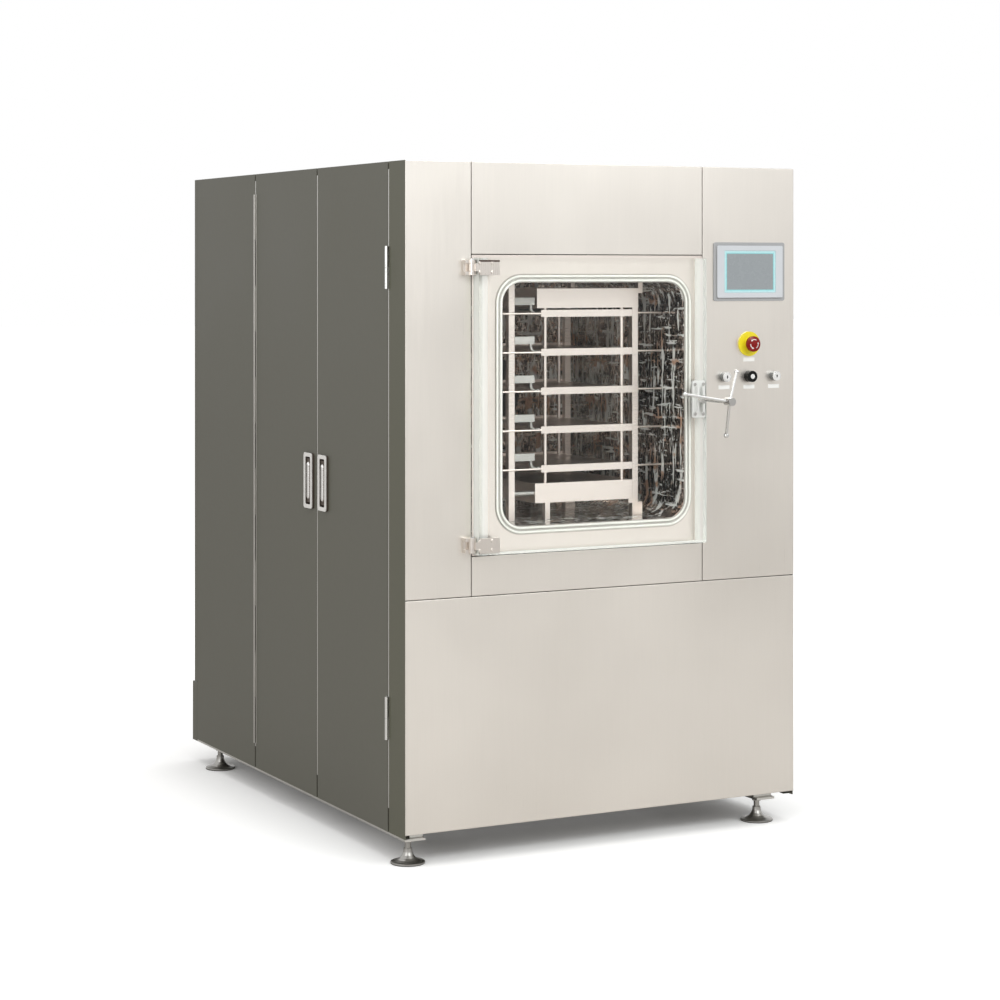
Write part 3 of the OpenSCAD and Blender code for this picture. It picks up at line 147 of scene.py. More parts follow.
class Graph(Tree):
    """A principled material in object coordinates. Texture scales are in cycles per metre."""

    def __init__(self, name, **constants):
        self.mat = bpy.data.materials.new(name)
        super().__init__(self.mat, "ShaderNodeOutputMaterial")
        self.bsdf = self.add("ShaderNodeBsdfPrincipled")
        self.link(self.bsdf.outputs[0], self.out.inputs[0])
        self.coord = self.add("ShaderNodeTexCoord").outputs["Object"]
        for key, value in constants.items():
            self.set(key.replace("_", " "), value)

    def set(self, name, value):
        self.put(self.bsdf.inputs[name], value)

    def paint_over(self, where, color):
        """Lays a colour over the base colour where the factor is 1."""
        plain = self.bsdf.inputs["Base Color"].links[0].from_socket
        self.set("Base Color", self.mix(where, plain, color))

    def axes(self):
        node = self.add("ShaderNodeSeparateXYZ")
        self.link(self.coord, node.inputs[0])
        return node.outputs

    def facing(self):
        """How squarely the surface faces forwards or backwards, from 0 to 1."""
        node = self.add("ShaderNodeSeparateXYZ")
        self.link(self.add("ShaderNodeTexCoord").outputs["Normal"], node.inputs[0])
        return self.math("ABSOLUTE", node.outputs[1])

    def beyond(self, axis, low, high):
        """Distance along one axis beyond the nearer end of a span; negative inside it."""
        off = self.math("ABSOLUTE", self.math("SUBTRACT", axis, (low + high) / 2))
        return self.math("SUBTRACT", off, (high - low) / 2)

    def ring_distance(self, lo, hi, radius):
        """Distance outside a rounded rectangle that stands in the front plane."""
        x, _, z = self.axes()
        dx, dz = (self.math("MAXIMUM", self.beyond(axis, low + radius, high - radius), 0.0)
                  for axis, low, high in ((x, lo[0], hi[0]), (z, lo[2], hi[2])))
        return self.math("SUBTRACT", self.hypot(dx, dz), radius)

    def texture(self, kind, scale):
        """A texture node on the object coordinates, scaled alike or axis by axis."""
        place = self.add("ShaderNodeMapping")
        self.link(self.coord, place.inputs["Vector"])
        place.inputs["Scale"].default_value = scale if isinstance(scale, tuple) else (scale,) * 3
        node = self.add(kind)
        self.link(place.outputs[0], node.inputs["Vector"])
        node.inputs["Scale"].default_value = 1.0
        return node

    def noise(self, scale, detail=3.0, rough=0.5):
        node = self.texture("ShaderNodeTexNoise", scale)
        node.inputs["Detail"].default_value = detail
        node.inputs["Roughness"].default_value = rough
        return node.outputs[0]

    def cells(self, scale):
        return self.texture("ShaderNodeTexVoronoi", scale).outputs[0]

    def spread(self, noise, to_lo=0.0, to_hi=1.0):
        """Stretches a noise, which lies mostly between 0.3 and 0.7."""
        return self.remap(noise, 0.3, 0.7, to_lo, to_hi)

    def tint(self, noise, a, b):
        return self.mix(self.spread(noise), a, b)

    def bump(self, height, strength, distance, edge=0.0):
        """Relief of a depth in metres, with edges rounded off by a radius."""
        node = self.add("ShaderNodeBump")
        self.put(node.inputs["Strength"], strength)
        self.put(node.inputs["Distance"], distance)
        self.put(node.inputs["Height"], height)
        if edge:
            soft = self.add("ShaderNodeBevel", samples=4)
            soft.inputs["Radius"].default_value = edge
            self.link(soft.outputs[0], node.inputs["Normal"])
        self.set("Normal", node.outputs[0])


def scaled(color, k):
    return tuple(c * k for c in color)


def around(color, vary):
    """A darker and a lighter shade of a colour."""
    return scaled(color, 1 - vary), scaled(color, 1 + vary)


def middle(lo, hi, axis):
    return (lo[axis] + hi[axis]) / 2


# ---- general finishes ----

def sheet_steel(name, color, rough=0.34, grain=(900, 900, 7), vary=0.04, edge=0.0012):
    """Brushed stainless sheet: fine streaks along the grain, faint clouding, rounded edges."""
    g = Graph(name, Metallic=1.0)
    streak = g.noise(grain, 4.0, 0.6)
    cloud = g.noise(2.3, 2.0)
    tone = g.math("ADD", g.spread(streak, -0.5, 0.5), g.spread(cloud, -1.0, 1.0))
    g.set("Base Color", g.mix(g.remap(tone, -1.5, 1.5), *around(color, vary)))
    wear = g.math("ADD", g.remap(streak, 0.25, 0.75, -0.05, 0.05), g.spread(cloud, -0.03, 0.03))
    g.set("Roughness", g.math("ADD", wear, rough))
    g.bump(streak, 0.18, 0.00005, edge)
    return g


def powder_paint(name, color, rough=0.48, edge=0.0012, vary=0.05, peel=0.00012):
    """Powder coat: orange peel, faint clouding and a slightly uneven gloss."""
    g = Graph(name, Specular_IOR_Level=0.4)
    peel_height = g.noise(420.0, 2.0)
    cloud = g.noise(1.7, 3.0)
    fine = g.noise(60.0, 3.0)
    tone = g.math("ADD", g.math("MULTIPLY", fine, 0.3), g.math("MULTIPLY", cloud, 0.7))
    g.set("Base Color", g.tint(tone, *around(color, vary)))
    g.set("Roughness", g.spread(cloud, rough - 0.04, rough + 0.05))
    g.bump(peel_height, 0.35, peel, edge)
    return g


def chrome(name, color=(0.80, 0.80, 0.79), rough=0.1, edge=0.0006):
    """Bright metal with faint smudges."""
    g = Graph(name, Metallic=1.0)
    smudge = g.noise(35.0, 4.0, 0.6)
    fine = g.noise(700.0, 2.0)
    g.set("Base Color", g.mix(g.remap(smudge, 0.35, 0.7), color, scaled(color, 0.93)))
    g.set("Roughness", g.remap(smudge, 0.35, 0.7, rough, rough + 0.09))
    g.bump(fine, 0.06, 0.00003, edge)
    return g


def moulding(name, color, rough=0.42, texture=900.0, depth=0.00006, coat=0.0):
    """Moulded plastic with a fine spark texture."""
    g = Graph(name, Coat_Weight=coat, Coat_Roughness=0.12)
    fine = g.noise(texture, 2.0)
    cloud = g.noise(9.0, 2.0)
    g.set("Base Color", g.tint(cloud, *around(color, 0.03)))
    g.set("Roughness", g.spread(fine, rough - 0.05, rough + 0.06))
    g.bump(fine, 0.3, depth, 0.0008)
    return g


# ---- chamber and door ----

# Outer corner radius of the gasket, and its width
SEAL_R = 0.075
SEAL_WIDTH = 0.018
# The painted shade line round the seal fades out between these distances from it
SEAL_SHADE = (0.0026, 0.004)
# The painted shade line on the upper hinge lies between these depths below its top
HINGE_SHADE = (0.0052, 0.004)
# The fixed hinge plate ends between these distances from the left, so the painted shade line starts
# there
FIXED_PLATE = (0.014, 0.015)
# The pale band on the door, a painted highlight, starts and ends between these distances from its side
BAND_START = (0.009, 0.0105)
BAND_END = (0.0255, 0.0265)
BAND_HIGHLIGHT = 0.42
# Middle of the painted highlight line above the door's lower edge, and half its width
HIGHLIGHT_LINE = 0.0035
HIGHLIGHT_LINE_HALF = 0.0015


def vessel_steel():
    """Satin flange face with a painted shade line round the seal; dented, mirror-polished shell inside.

    The shell is painted dark as its shade, with lighter specks; its bright flecks are painted
    reflections of shelves, rods and room, some tinted warm.
    """
    g = Graph("chamber_steel")
    y = g.axes()[1]
    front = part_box("chamber_vessel")[0][1]
    inside = g.remap(y, front + 0.0003, front + 0.0012)
    deep = g.remap(y, front + 0.1, front + 0.45)

    streak = g.noise((900, 900, 7), 4.0, 0.6)
    cloud = g.noise(2.3, 2.0)
    tone = g.remap(g.math("ADD", streak, cloud), 0.7, 1.3)
    face = g.mix(tone, (0.72, 0.65, 0.605), (0.78, 0.71, 0.66))
    seal = g.ring_distance(*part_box("chamber_gasket"), SEAL_R)
    # painted shade: a dark line on the flange face just outside the seal
    line = g.math("MULTIPLY", g.remap(seal, *SEAL_SHADE, 1.0, 0.0), 0.55)
    face = g.mix(line, face, (0.34, 0.30, 0.27))

    def flecks(scale, at_mouth, at_back, step):
        """Noise above a level that falls from the mouth to the back."""
        level = g.blend(deep, at_mouth, at_back)
        return g.remap(g.noise(scale, 4.0, 0.65), level, g.math("ADD", level, step))

    # painted reflections: bright upright, level and spotted flecks on the shell, some tinted warm
    upright = flecks((52, 52, 7), 0.555, 0.525, 0.025)
    level = flecks((9, 9, 70), 0.585, 0.57, 0.02)
    spot = g.remap(g.noise(85.0, 3.0, 0.7), 0.61, 0.635)
    flash = g.math("MAXIMUM", g.math("MAXIMUM", upright, level), spot)
    speck = g.remap(g.noise((170.0, 170.0, 60.0), 4.0, 0.7), 0.47, 0.6)
    warm_reflection = g.remap(g.noise(16.0, 2.0), 0.55, 0.62)
    # painted shade: the mirror-polished shell coloured dark, with lighter specks
    shell = g.mix(speck, (0.07, 0.052, 0.042), (0.66, 0.58, 0.52))
    shell = g.mix(flash, shell, g.mix(warm_reflection, (0.86, 0.85, 0.82), (0.55, 0.34, 0.24)))
    g.set("Base Color", g.mix(inside, face, shell))

    dull = g.math("MULTIPLY", g.math("MULTIPLY", inside, flash), 0.85)
    g.set("Metallic", g.math("SUBTRACT", 1.0, dull))
    polished = g.blend(speck, 0.05, 0.14)
    g.set("Roughness", g.blend(inside, g.remap(streak, 0.25, 0.75, 0.3, 0.4), polished))

    dents = g.noise((22, 22, 9), 3.0, 0.6)
    ripple = g.noise((75, 75, 26), 3.0, 0.65)
    relief = g.math("ADD", g.math("MULTIPLY", dents, 40.0), g.math("MULTIPLY", ripple, 14.0))
    height = g.math("ADD", g.math("MULTIPLY", streak, 0.15), g.math("MULTIPLY", inside, relief))
    g.bump(height, 1.0, 0.00006, 0.0015)
    return g


def hinge_steel():
    """Satin hinge plates with a painted shade line along the top of the upper moving one."""
    lo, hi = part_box("door_hinge_blocks")
    g = sheet_steel("hinge_steel", (0.76, 0.71, 0.66), 0.3, (700, 700, 9), 0.04, 0.0008)
    x, _, z = g.axes()
    top = g.remap(z, hi[2] - HINGE_SHADE[0], hi[2] - HINGE_SHADE[1])
    moving = g.remap(x, lo[0] + FIXED_PLATE[0], lo[0] + FIXED_PLATE[1])
    # painted shade: the gap's shadow as a dark line along the top of the moving plate
    g.paint_over(g.math("MULTIPLY", top, moving), (0.09, 0.06, 0.05))
    return g


def clear_slab():
    """Clear acrylic slab: polished faces, flame-frosted edges, a painted highlight band down both
    sides.
    """
    lo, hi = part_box("chamber_door")
    g = Graph("clear_acrylic", IOR=1.49)
    g.set("Specular Tint", (0.3, 0.3, 0.3))
    x, _, z = g.axes()
    edge = g.remap(g.facing(), 0.35, 0.75, 1.0, 0.0)
    from_side = g.math("MULTIPLY", g.beyond(x, lo[0], hi[0]), -1.0)
    # painted highlight: a pale band down each side and a pale line above the lower edge
    band = g.math("MULTIPLY", g.remap(from_side, *BAND_START),
                  g.remap(from_side, *BAND_END, BAND_HIGHLIGHT, 0.0))
    from_line = g.math("ABSOLUTE", g.math("SUBTRACT", z, lo[2] + HIGHLIGHT_LINE))
    highlight_line = g.math("LESS_THAN", from_line, HIGHLIGHT_LINE_HALF)
    # the sawn edges are frosted; the band and the line are painted highlight
    frost_and_highlight = g.math("MAXIMUM", g.math("MAXIMUM", band, g.math("MULTIPLY", highlight_line, 0.6)),
                   g.math("MULTIPLY", edge, 0.85))
    haze = g.noise(18.0, 3.0)
    saw = g.noise((30, 1400, 30), 3.0)
    pale = g.mix(saw, (0.86, 0.89, 0.85), (0.96, 0.98, 0.94))
    g.set("Base Color", g.mix(frost_and_highlight, (0.97, 0.985, 0.975), pale))
    g.set("Transmission Weight", g.math("SUBTRACT", 1.0, frost_and_highlight))
    g.set("Roughness", g.math("MULTIPLY_ADD", frost_and_highlight, 0.3, g.remap(haze, 0.4, 0.7, 0.0, 0.01)))
    g.bump(saw, g.math("MULTIPLY", edge, 0.25), 0.0001)
    # light from the lamps passes through it
    clear = g.shader("ShaderNodeBsdfTransparent", (0.9, 0.92, 0.91))
    through = g.shader("ShaderNodeMixShader", g.seen_by("Is Shadow Ray"), g.bsdf.outputs[0], clear)
    g.link(through, g.out.inputs[0])
    return g


def gasket():
    """White silicone, greyed as painted shade in the valley between its lips."""
    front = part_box("chamber_gasket")[0][1]
    g = Graph("gasket_silicone", Specular_IOR_Level=0.4)
    valley = g.remap(g.axes()[1], front + 0.0009, front + 0.0026)
    fine = g.noise(500.0, 2.0)
    g.set("Base Color", g.tint(g.noise(7.0), (0.77, 0.745, 0.70), (0.83, 0.80, 0.755)))
    # painted shade in the valley between the lips
    g.paint_over(valley, (0.40, 0.375, 0.345))
    g.set("Roughness", g.spread(fine, 0.4, 0.52))
    g.bump(fine, 0.3, 0.00008)
    return g


def thread_chrome():
    """Bright bar stock of the clamp's rolled thread."""
    g = Graph("handle_chrome", Metallic=1.0)
    smudge = g.noise(35.0, 4.0, 0.6)
    g.set("Base Color", g.mix(g.remap(smudge, 0.35, 0.7), (0.80, 0.80, 0.79), (0.74, 0.74, 0.73)))
    g.set("Roughness", g.remap(smudge, 0.35, 0.7, 0.1, 0.2))
    g.bump(smudge, 0.08, 0.0002, 0.0006)
    return g


def braid():
    """Woven steel braid of the hoses."""
    g = Graph("hose_braid", Metallic=1.0)
    x, y, z = g.axes()
    level = g.math("ADD", x, y)
    strands = [g.math("SINE", g.math("MULTIPLY", g.math(op, z, level), 2600.0))
               for op in ("ADD", "SUBTRACT")]
    weave = g.math("MULTIPLY", *strands)
    g.set("Base Color", g.mix(g.remap(weave, -1, 1), (0.27, 0.26, 0.245), (0.60, 0.585, 0.555)))
    g.set("Roughness", g.remap(weave, -1, 1, 0.42, 0.26))
    g.bump(weave, 0.4, 0.0004)
    return g


# ---- control column and latches ----

# Radius within which a key barrel is painted black behind its face, as the keyhole's shade
KEYHOLE_SHADE_R = 0.0078
# Radius of the ring of arrows on the stop head, and how far back the printed front reaches
ARROW_R = 0.0125
PRINT_DEPTH = 0.012
# Where an arrow's shaft and its tip end, in shares of a third of a turn, and half their widths
SHAFT_END = 0.5
TIP_END = 0.72
SHAFT_HALF = 0.0012
TIP_HALF = 0.003


def key_face():
    """Bright key barrels, painted black inside the keyhole as its shade."""
    lo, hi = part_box("key_barrel_left")
    right_lo, right_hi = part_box("key_barrel_right")
    # the barrels lie alike on both sides of the point between them
    between = (lo[0] + right_hi[0]) / 2
    apart = (right_lo[0] + right_hi[0] - lo[0] - hi[0]) / 4
    g = Graph("key_face", Metallic=0.55)
    x, y, z = g.axes()
    dx = g.math("SUBTRACT", g.math("ABSOLUTE", g.math("SUBTRACT", x, between)), apart)
    dz = g.math("SUBTRACT", z, middle(lo, hi, 2))
    near = g.math("LESS_THAN", g.hypot(dx, dz), KEYHOLE_SHADE_R)
    keyhole_shade = g.math("MULTIPLY", near, g.remap(y, lo[1] + 0.0004, lo[1] + 0.0009))
    turned = g.noise(240.0, 3.0)
    g.set("Base Color", g.mix(turned, (0.84, 0.84, 0.83), (0.92, 0.92, 0.91)))
    # painted shade inside the keyhole
    g.paint_over(keyhole_shade, (0.012, 0.012, 0.012))
    g.set("Roughness", g.spread(turned, 0.28, 0.4))
    g.bump(turned, 0.08, 0.00003, 0.0005)
    return g


def key_body():
    """Key switch collar: white front ring; its turned side painted dark as shade."""
    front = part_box("key_switch_bodies")[0][1]
    g = Graph("key_body", Metallic=0.6)
    side = g.remap(g.axes()[1], front + 0.0006, front + 0.0012)
    turned = g.noise((60, 700, 60), 3.0)
    g.set("Base Color", g.mix(turned, (0.84, 0.84, 0.83), (0.92, 0.92, 0.91)))
    # painted shade: the collar's side darker than its front
    g.paint_over(side, g.mix(turned, (0.12, 0.13, 0.135), (0.26, 0.27, 0.27)))
    g.set("Roughness", g.spread(turned, 0.2, 0.34))
    g.bump(turned, 0.08, 0.00003, 0.0006)
    return g


def latch_dish():
    """Polished rim round a recess painted dark as its shade."""
    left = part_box("latch_dish_front")[0][0]
    g = Graph("latch_dish", Metallic=0.2)
    recess = g.remap(g.axes()[0], left + 0.0008, left + 0.0030)
    smudge = g.noise(60.0, 4.0, 0.6)
    g.set("Base Color", g.mix(smudge, (0.86, 0.85, 0.83), (0.94, 0.93, 0.91)))
    # painted shade in the recess behind the rim
    g.paint_over(recess, g.mix(smudge, (0.06, 0.045, 0.035), (0.13, 0.10, 0.08)))
    g.set("Roughness", g.spread(smudge, 0.14, 0.26))
    g.bump(smudge, 0.05, 0.0001, 0.001)
    return g


def black_knob():
    g = moulding("switch_black", (0.006, 0.006, 0.006), 0.4)
    g.set("Specular IOR Level", 0.15)
    return g


def stop_head():
    """Glossy red head with three pale turn-to-release arrows."""
    lo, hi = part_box("estop_button")
    g = moulding("stop_red", (0.24, 0.005, 0.004), 0.2, 300.0, 0.00003, coat=0.1)
    g.set("Specular IOR Level", 0.25)
    g.set("Base Color", g.tint(g.noise(9.0, 2.0), (0.22, 0.004, 0.003), (0.26, 0.006, 0.004)))
    x, y, z = g.axes()
    dx = g.math("SUBTRACT", x, middle(lo, hi, 0))
    dz = g.math("SUBTRACT", z, middle(lo, hi, 2))
    # each third of a turn holds a shaft, a tip that narrows to nothing, and a gap
    turn = g.math("FRACT", g.math("MULTIPLY_ADD", g.math("ARCTAN2", dz, dx), 1.5 / math.pi, 1.5))
    shaft = g.math("LESS_THAN", turn, SHAFT_END)
    tip = g.math("MULTIPLY", g.math("SUBTRACT", 1.0, shaft),
                 g.remap(turn, SHAFT_END, TIP_END, TIP_HALF, 0.0))
    width = g.math("ADD", g.math("MULTIPLY", shaft, SHAFT_HALF), tip)
    from_ring = g.math("ABSOLUTE", g.math("SUBTRACT", g.hypot(dx, dz), ARROW_R))
    arrow = g.math("LESS_THAN", from_ring, width)
    front = g.math("LESS_THAN", y, lo[1] + PRINT_DEPTH)
    g.paint_over(g.math("MULTIPLY", arrow, front), (0.78, 0.74, 0.72))
    return g


def panel_frame():
    """Bezel behind painted darker grey as its shade, pale blue-grey face in front."""
    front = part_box("touch_panel")[0][1]
    g = Graph("panel_housing", Specular_IOR_Level=0.4)
    bezel = g.remap(g.axes()[1], front + 0.0016, front + 0.0022)
    fine = g.noise(900.0, 2.0)
    g.set("Base Color", g.tint(g.noise(9.0, 2.0), (0.60, 0.625, 0.665), (0.64, 0.665, 0.70)))
    # painted shade on the stepped bezel behind the face
    g.paint_over(bezel, (0.40, 0.405, 0.415))
    g.set("Roughness", g.spread(fine, 0.34, 0.46))
    g.bump(fine, 0.3, 0.00006, 0.0008)
    return g


def screen_glass():
    """Unlit display: grey glass with a cyan printed border, paler at its outer edge."""
    lo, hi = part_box("touch_screen")
    g = Graph("screen", Coat_Weight=0.6, Coat_Roughness=0.05)
    x, _, z = g.axes()
    from_edge = g.math("MAXIMUM", g.beyond(x, lo[0], hi[0]), g.beyond(z, lo[2], hi[2]))
    border = g.remap(from_edge, -0.0085, -0.0075)
    outer = g.remap(from_edge, -0.0055, -0.005)
    g.set("Base Color", g.tint(g.noise(1600.0, 1.0), (0.27, 0.30, 0.32), (0.305, 0.33, 0.35)))
    g.paint_over(border, g.mix(outer, (0.30, 0.70, 0.73), (0.50, 0.78, 0.82)))
    g.set("Roughness", g.spread(g.noise(40.0), 0.22, 0.32))
    return g


# ---- plant and feet ----

FIN_PITCH = 0.0035


def fins():
    g = Graph("fin_aluminium", Metallic=1.0)
    pleat = g.math("SINE", g.math("MULTIPLY", g.axes()[0], 2 * math.pi / FIN_PITCH))
    dust = g.noise(14.0, 4.0)
    g.set("Base Color", g.mix(dust, (0.55, 0.55, 0.54), (0.74, 0.75, 0.76)))
    g.set("Roughness", g.spread(dust, 0.35, 0.6))
    g.bump(pleat, 0.5, 0.0006)
    return g


def foam_skin():
    g = Graph("foam", Specular_IOR_Level=0.2)
    pores = g.cells(260.0)
    g.set("Base Color", g.mix(g.remap(pores, 0, 0.7), (0.55, 0.48, 0.28), (0.78, 0.72, 0.50)))
    g.set("Roughness", g.spread(g.noise(6.0), 0.75, 0.95))
    g.bump(pores, 0.5, 0.001)
    return g


def rubber():
    g = Graph("black_rubber", Specular_IOR_Level=0.35)
    dust = g.noise(120.0, 3.0)
    g.set("Base Color", g.tint(dust, (0.02, 0.02, 0.02), (0.045, 0.043, 0.04)))
    g.set("Roughness", g.spread(dust, 0.6, 0.8))
    g.bump(dust, 0.2, 0.0002)
    return g


# ---- the finish of each slot and node ----

FRONT = (0.83, 0.79, 0.735)
SIDE = (0.119, 0.117, 0.094)

MATERIALS = {
    "front_steel": sheet_steel("front_steel", FRONT, edge=0.003),
    "side_paint": powder_paint("side_paint", SIDE),
    "frame_steel": sheet_steel("frame_steel", (0.62, 0.61, 0.58), 0.38, (300, 300, 300), 0.06),
    "chamber_steel": vessel_steel(),
    "shelf_steel": sheet_steel("shelf_steel", (0.80, 0.715, 0.665), 0.3, (9, 1100, 1100), 0.04, 0.0008),
    "chrome_trim": chrome("chrome_trim"),
    "clear_acrylic": clear_slab(),
    "gasket_silicone": gasket(),
    "foam": foam_skin(),
    "white_metal": powder_paint("white_metal", (0.80, 0.81, 0.79), 0.36, 0.0008, 0.02, 0.00006),
    "panel_housing": panel_frame(),
    "screen": screen_glass(),
    "stop_yellow": moulding("stop_yellow", (0.92, 0.79, 0.02), 0.38, 400.0, 0.00003, coat=0.15),
    "stop_red": stop_head(),
    "switch_silver": chrome("switch_silver", (0.78, 0.77, 0.75), 0.2),
    "switch_black": black_knob(),
    "label_white": moulding("label_white", (0.93, 0.93, 0.91), 0.4),
    "hose_braid": braid(),
    "trap_copper": chrome("trap_copper", (0.68, 0.66, 0.63), 0.22),
    "plant_dark": powder_paint("plant_dark", (0.05, 0.056, 0.062), 0.4, 0.002, 0.12, 0.0003),
    "fin_aluminium": fins(),
    "shroud": powder_paint("shroud", (0.06, 0.06, 0.062), 0.45),
    "fan_black": moulding("fan_black", (0.03, 0.03, 0.031), 0.4),
    "pump_blue": powder_paint("pump_blue", (0.12, 0.20, 0.33), 0.38, 0.002, 0.08, 0.0003),
    "foot_steel": chrome("foot_steel", (0.40, 0.39, 0.37), 0.3, 0.001),
    "hinge_steel": hinge_steel(),
    "plate_zinc": sheet_steel("plate_zinc", (0.60, 0.60, 0.58), 0.4, (60, 60, 60), 0.1),
}
EXTRA = {
    "rubber": rubber(),
    "thread": thread_chrome(),
    "strip_paint": powder_paint("strip_paint", (0.108, 0.107, 0.076)),
    "key_face": key_face(),
    "key_body": key_body(),
    "latch_dish": latch_dish(),
    # painted shade: the latch levers, sitting in the recess, coloured dark
    "latch_plate_shade": chrome("latch_plate_shade", (0.15, 0.12, 0.10), 0.25),
    "grip": chrome("grip", (0.95, 0.94, 0.92), 0.24),
    "handle": chrome("handle", (0.74, 0.74, 0.73), 0.14),
    "trap_steel": sheet_steel("trap_steel", (0.52, 0.51, 0.49), 0.32, (60, 60, 60), 0.08),
    "selector_cap": moulding("selector_cap", (0.84, 0.84, 0.83), 0.3),
    "hinge_strip": sheet_steel("hinge_strip", (0.46, 0.45, 0.42), 0.36, (500, 500, 9), 0.05),
}
# Nodes with a finish of their own instead of their slot's
OWN_FINISH = {
    "key_face": ("key_barrel_left", "key_barrel_right"),
    "key_body": ("key_switch_bodies",),
    "latch_dish": ("latch_dish_front", "latch_dish_rear"),
    "latch_plate_shade": ("latch_lever_front", "latch_lever_rear"),
    "handle": ("clamp_handle",),
    "trap_steel": ("cold_trap",),
    "strip_paint": ("left_corner_strip",),
    "selector_cap": ("selector_rotor",),
    "hinge_strip": ("long_hinge_fixed", "long_hinge_leaf"),
}

graph_of = {part["node"]: MATERIALS[part["material_slot"]] for part in frame["record"]["subparts"]}
graph_of.update({node: EXTRA[finish] for finish, group in OWN_FINISH.items() for node in group})
for name, obj in nodes.items():
    for slot in obj.material_slots:
        slot.material = graph_of[name].mat


# ---- mesh pieces ----

def new_piece(name, body, material):
    mesh = bpy.data.meshes.new(name)
    obj = bpy.data.objects.new(name, mesh)
    scene.collection.objects.link(obj)
    mesh.materials.append(material.mat)
    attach(obj, body)
    return obj


def fill(obj, build, sharp=30.0):
    """Builds a mesh, smooth but for edges that turn by more than an angle in degrees."""
    bm = bmesh.new()
    build(bm)
    bmesh.ops.recalc_face_normals(bm, faces=bm.faces)
    bm.to_mesh(obj.data)
    bm.free()
    obj.data.shade_smooth()
    obj.data.set_sharp_from_angle(angle=math.radians(sharp))


def turns(steps):
    return [2 * math.pi * i / steps for i in range(steps)]


def around_axis(axis):
    """A unit axis and two unit vectors square to it."""
    axis = Vector(axis).normalized()
    side = axis.orthogonal().normalized()
    return axis, side, axis.cross(side)


def revolve(bm, profile, origin, axis, steps):
    """Turns a profile of (radius, height) points round an axis through origin."""
    axis, side, other = around_axis(axis)
    rings = []
    for r, h in profile:
        at = Vector(origin) + axis * h
        if r:
            rings.append([bm.verts.new(at + (side * math.cos(t) + other * math.sin(t)) * r)
                          for t in turns(steps)])
        else:
            rings.append([bm.verts.new(at)])
    for a, b in zip(rings, rings[1:]):
        for i in range(steps):
            j = (i + 1) % steps
            quad = [a[i % len(a)], a[j % len(a)], b[j % len(b)], b[i % len(b)]]
            face = list(dict.fromkeys(quad))
            if len(face) > 2:
                bm.faces.new(face)


def helix(bm, origin, axis, radius, height, pitch, length):
    """A V-shaped rolled thread standing on a rod, run out over its first and last turn."""
    steps = 24
    half = pitch * 0.46
    foot = radius - 0.0001
    axis, side, other = around_axis(axis)
    count = int(length / pitch * steps)
    rows = []
    for i in range(count + 1):
        t = 2 * math.pi * i / steps
        out = side * math.cos(t) + other * math.sin(t)
        base = Vector(origin) + axis * (pitch * i / steps)
        lift = height * min(1.0, i / steps, (count - i) / steps)
        rows.append([bm.verts.new(base - axis * half + out * foot),
                     bm.verts.new(base + out * (radius + lift)),
                     bm.verts.new(base + axis * half + out * foot)])
    for a, b in zip(rows, rows[1:]):
        bm.faces.new((a[0], b[0], b[1], a[1]))
        bm.faces.new((a[1], b[1], b[2], a[2]))


FOOT_R = 0.045


def foot_pads():
    """Rubber sole under each levelling foot."""
    lo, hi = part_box("levelling_feet")
    rim = FOOT_R - 0.0001
    profile = [(0, 0.0001), (FOOT_R - 0.0008, 0.0001), (rim, 0.0009), (rim, 0.0019),
               (FOOT_R - 0.0012, 0.0021)]
    obj = new_piece("foot_pads", "cabinet", EXTRA["rubber"])

    def build(bm):
        for x in (lo[0] + FOOT_R, hi[0] - FOOT_R):
            for y in (lo[1] + FOOT_R, hi[1] - FOOT_R):
                revolve(bm, profile, (x, y, 0), (0, 0, 1), 64)
    fill(obj, build)


def gasket_lips():
    """Moulded seal: two rounded lips with a valley between them, swept round the opening."""
    lo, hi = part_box("chamber_gasket")
    high = hi[1] - lo[1]
    # the inner lip, from the opening to the valley: how far across the seal and behind its crest
    lip = ((0.0, 0.0022), (0.0005, 0.0011), (0.0016, 0.0003), (0.0032, 0.0), (0.0048, 0.0004),
           (0.0060, 0.0015), (0.0070, 0.0030), (0.0080, 0.0037), (0.0090, 0.0039))
    section = [(0.0, 0.0)] + [(u, high - drop) for u, drop in lip]
    section += [(SEAL_WIDTH - u, v) for u, v in reversed(section[:-1])]
    obj = new_piece("gasket_lips", "cabinet", MATERIALS["gasket_silicone"])
    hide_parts("chamber_gasket")
    r = SEAL_R - SEAL_WIDTH
    cx, cz = middle(lo, hi, 0), middle(lo, hi, 2)
    hx, hz = (hi[0] - lo[0]) / 2 - SEAL_R, (hi[2] - lo[2]) / 2 - SEAL_R
    corner_steps = 16

    def build(bm):
        rings = []
        for k, (sx, sz) in enumerate(((1, 1), (-1, 1), (-1, -1), (1, -1))):
            for i in range(corner_steps + 1):
                t = math.radians(90 * k + 90 * i / corner_steps)
                rings.append([bm.verts.new((cx + sx * hx + (r + u) * math.cos(t), hi[1] - v,
                                            cz + sz * hz + (r + u) * math.sin(t)))
                              for u, v in section])
        for a, b in zip(rings, rings[1:] + rings[:1]):
            for i in range(len(section)):
                j = (i + 1) % len(section)
                bm.faces.new((a[i], a[j], b[j], b[i]))
    fill(obj, build, 50)


# Half the size of a grip, and the share of its length where its ends start and end rounding off
GRIP_HALF = (0.0037, 0.0078, 0.051)
GRIP_ROUND = (0.88, 1.01)
# Its middle lies this far behind the lever's
GRIP_BACK = 0.004


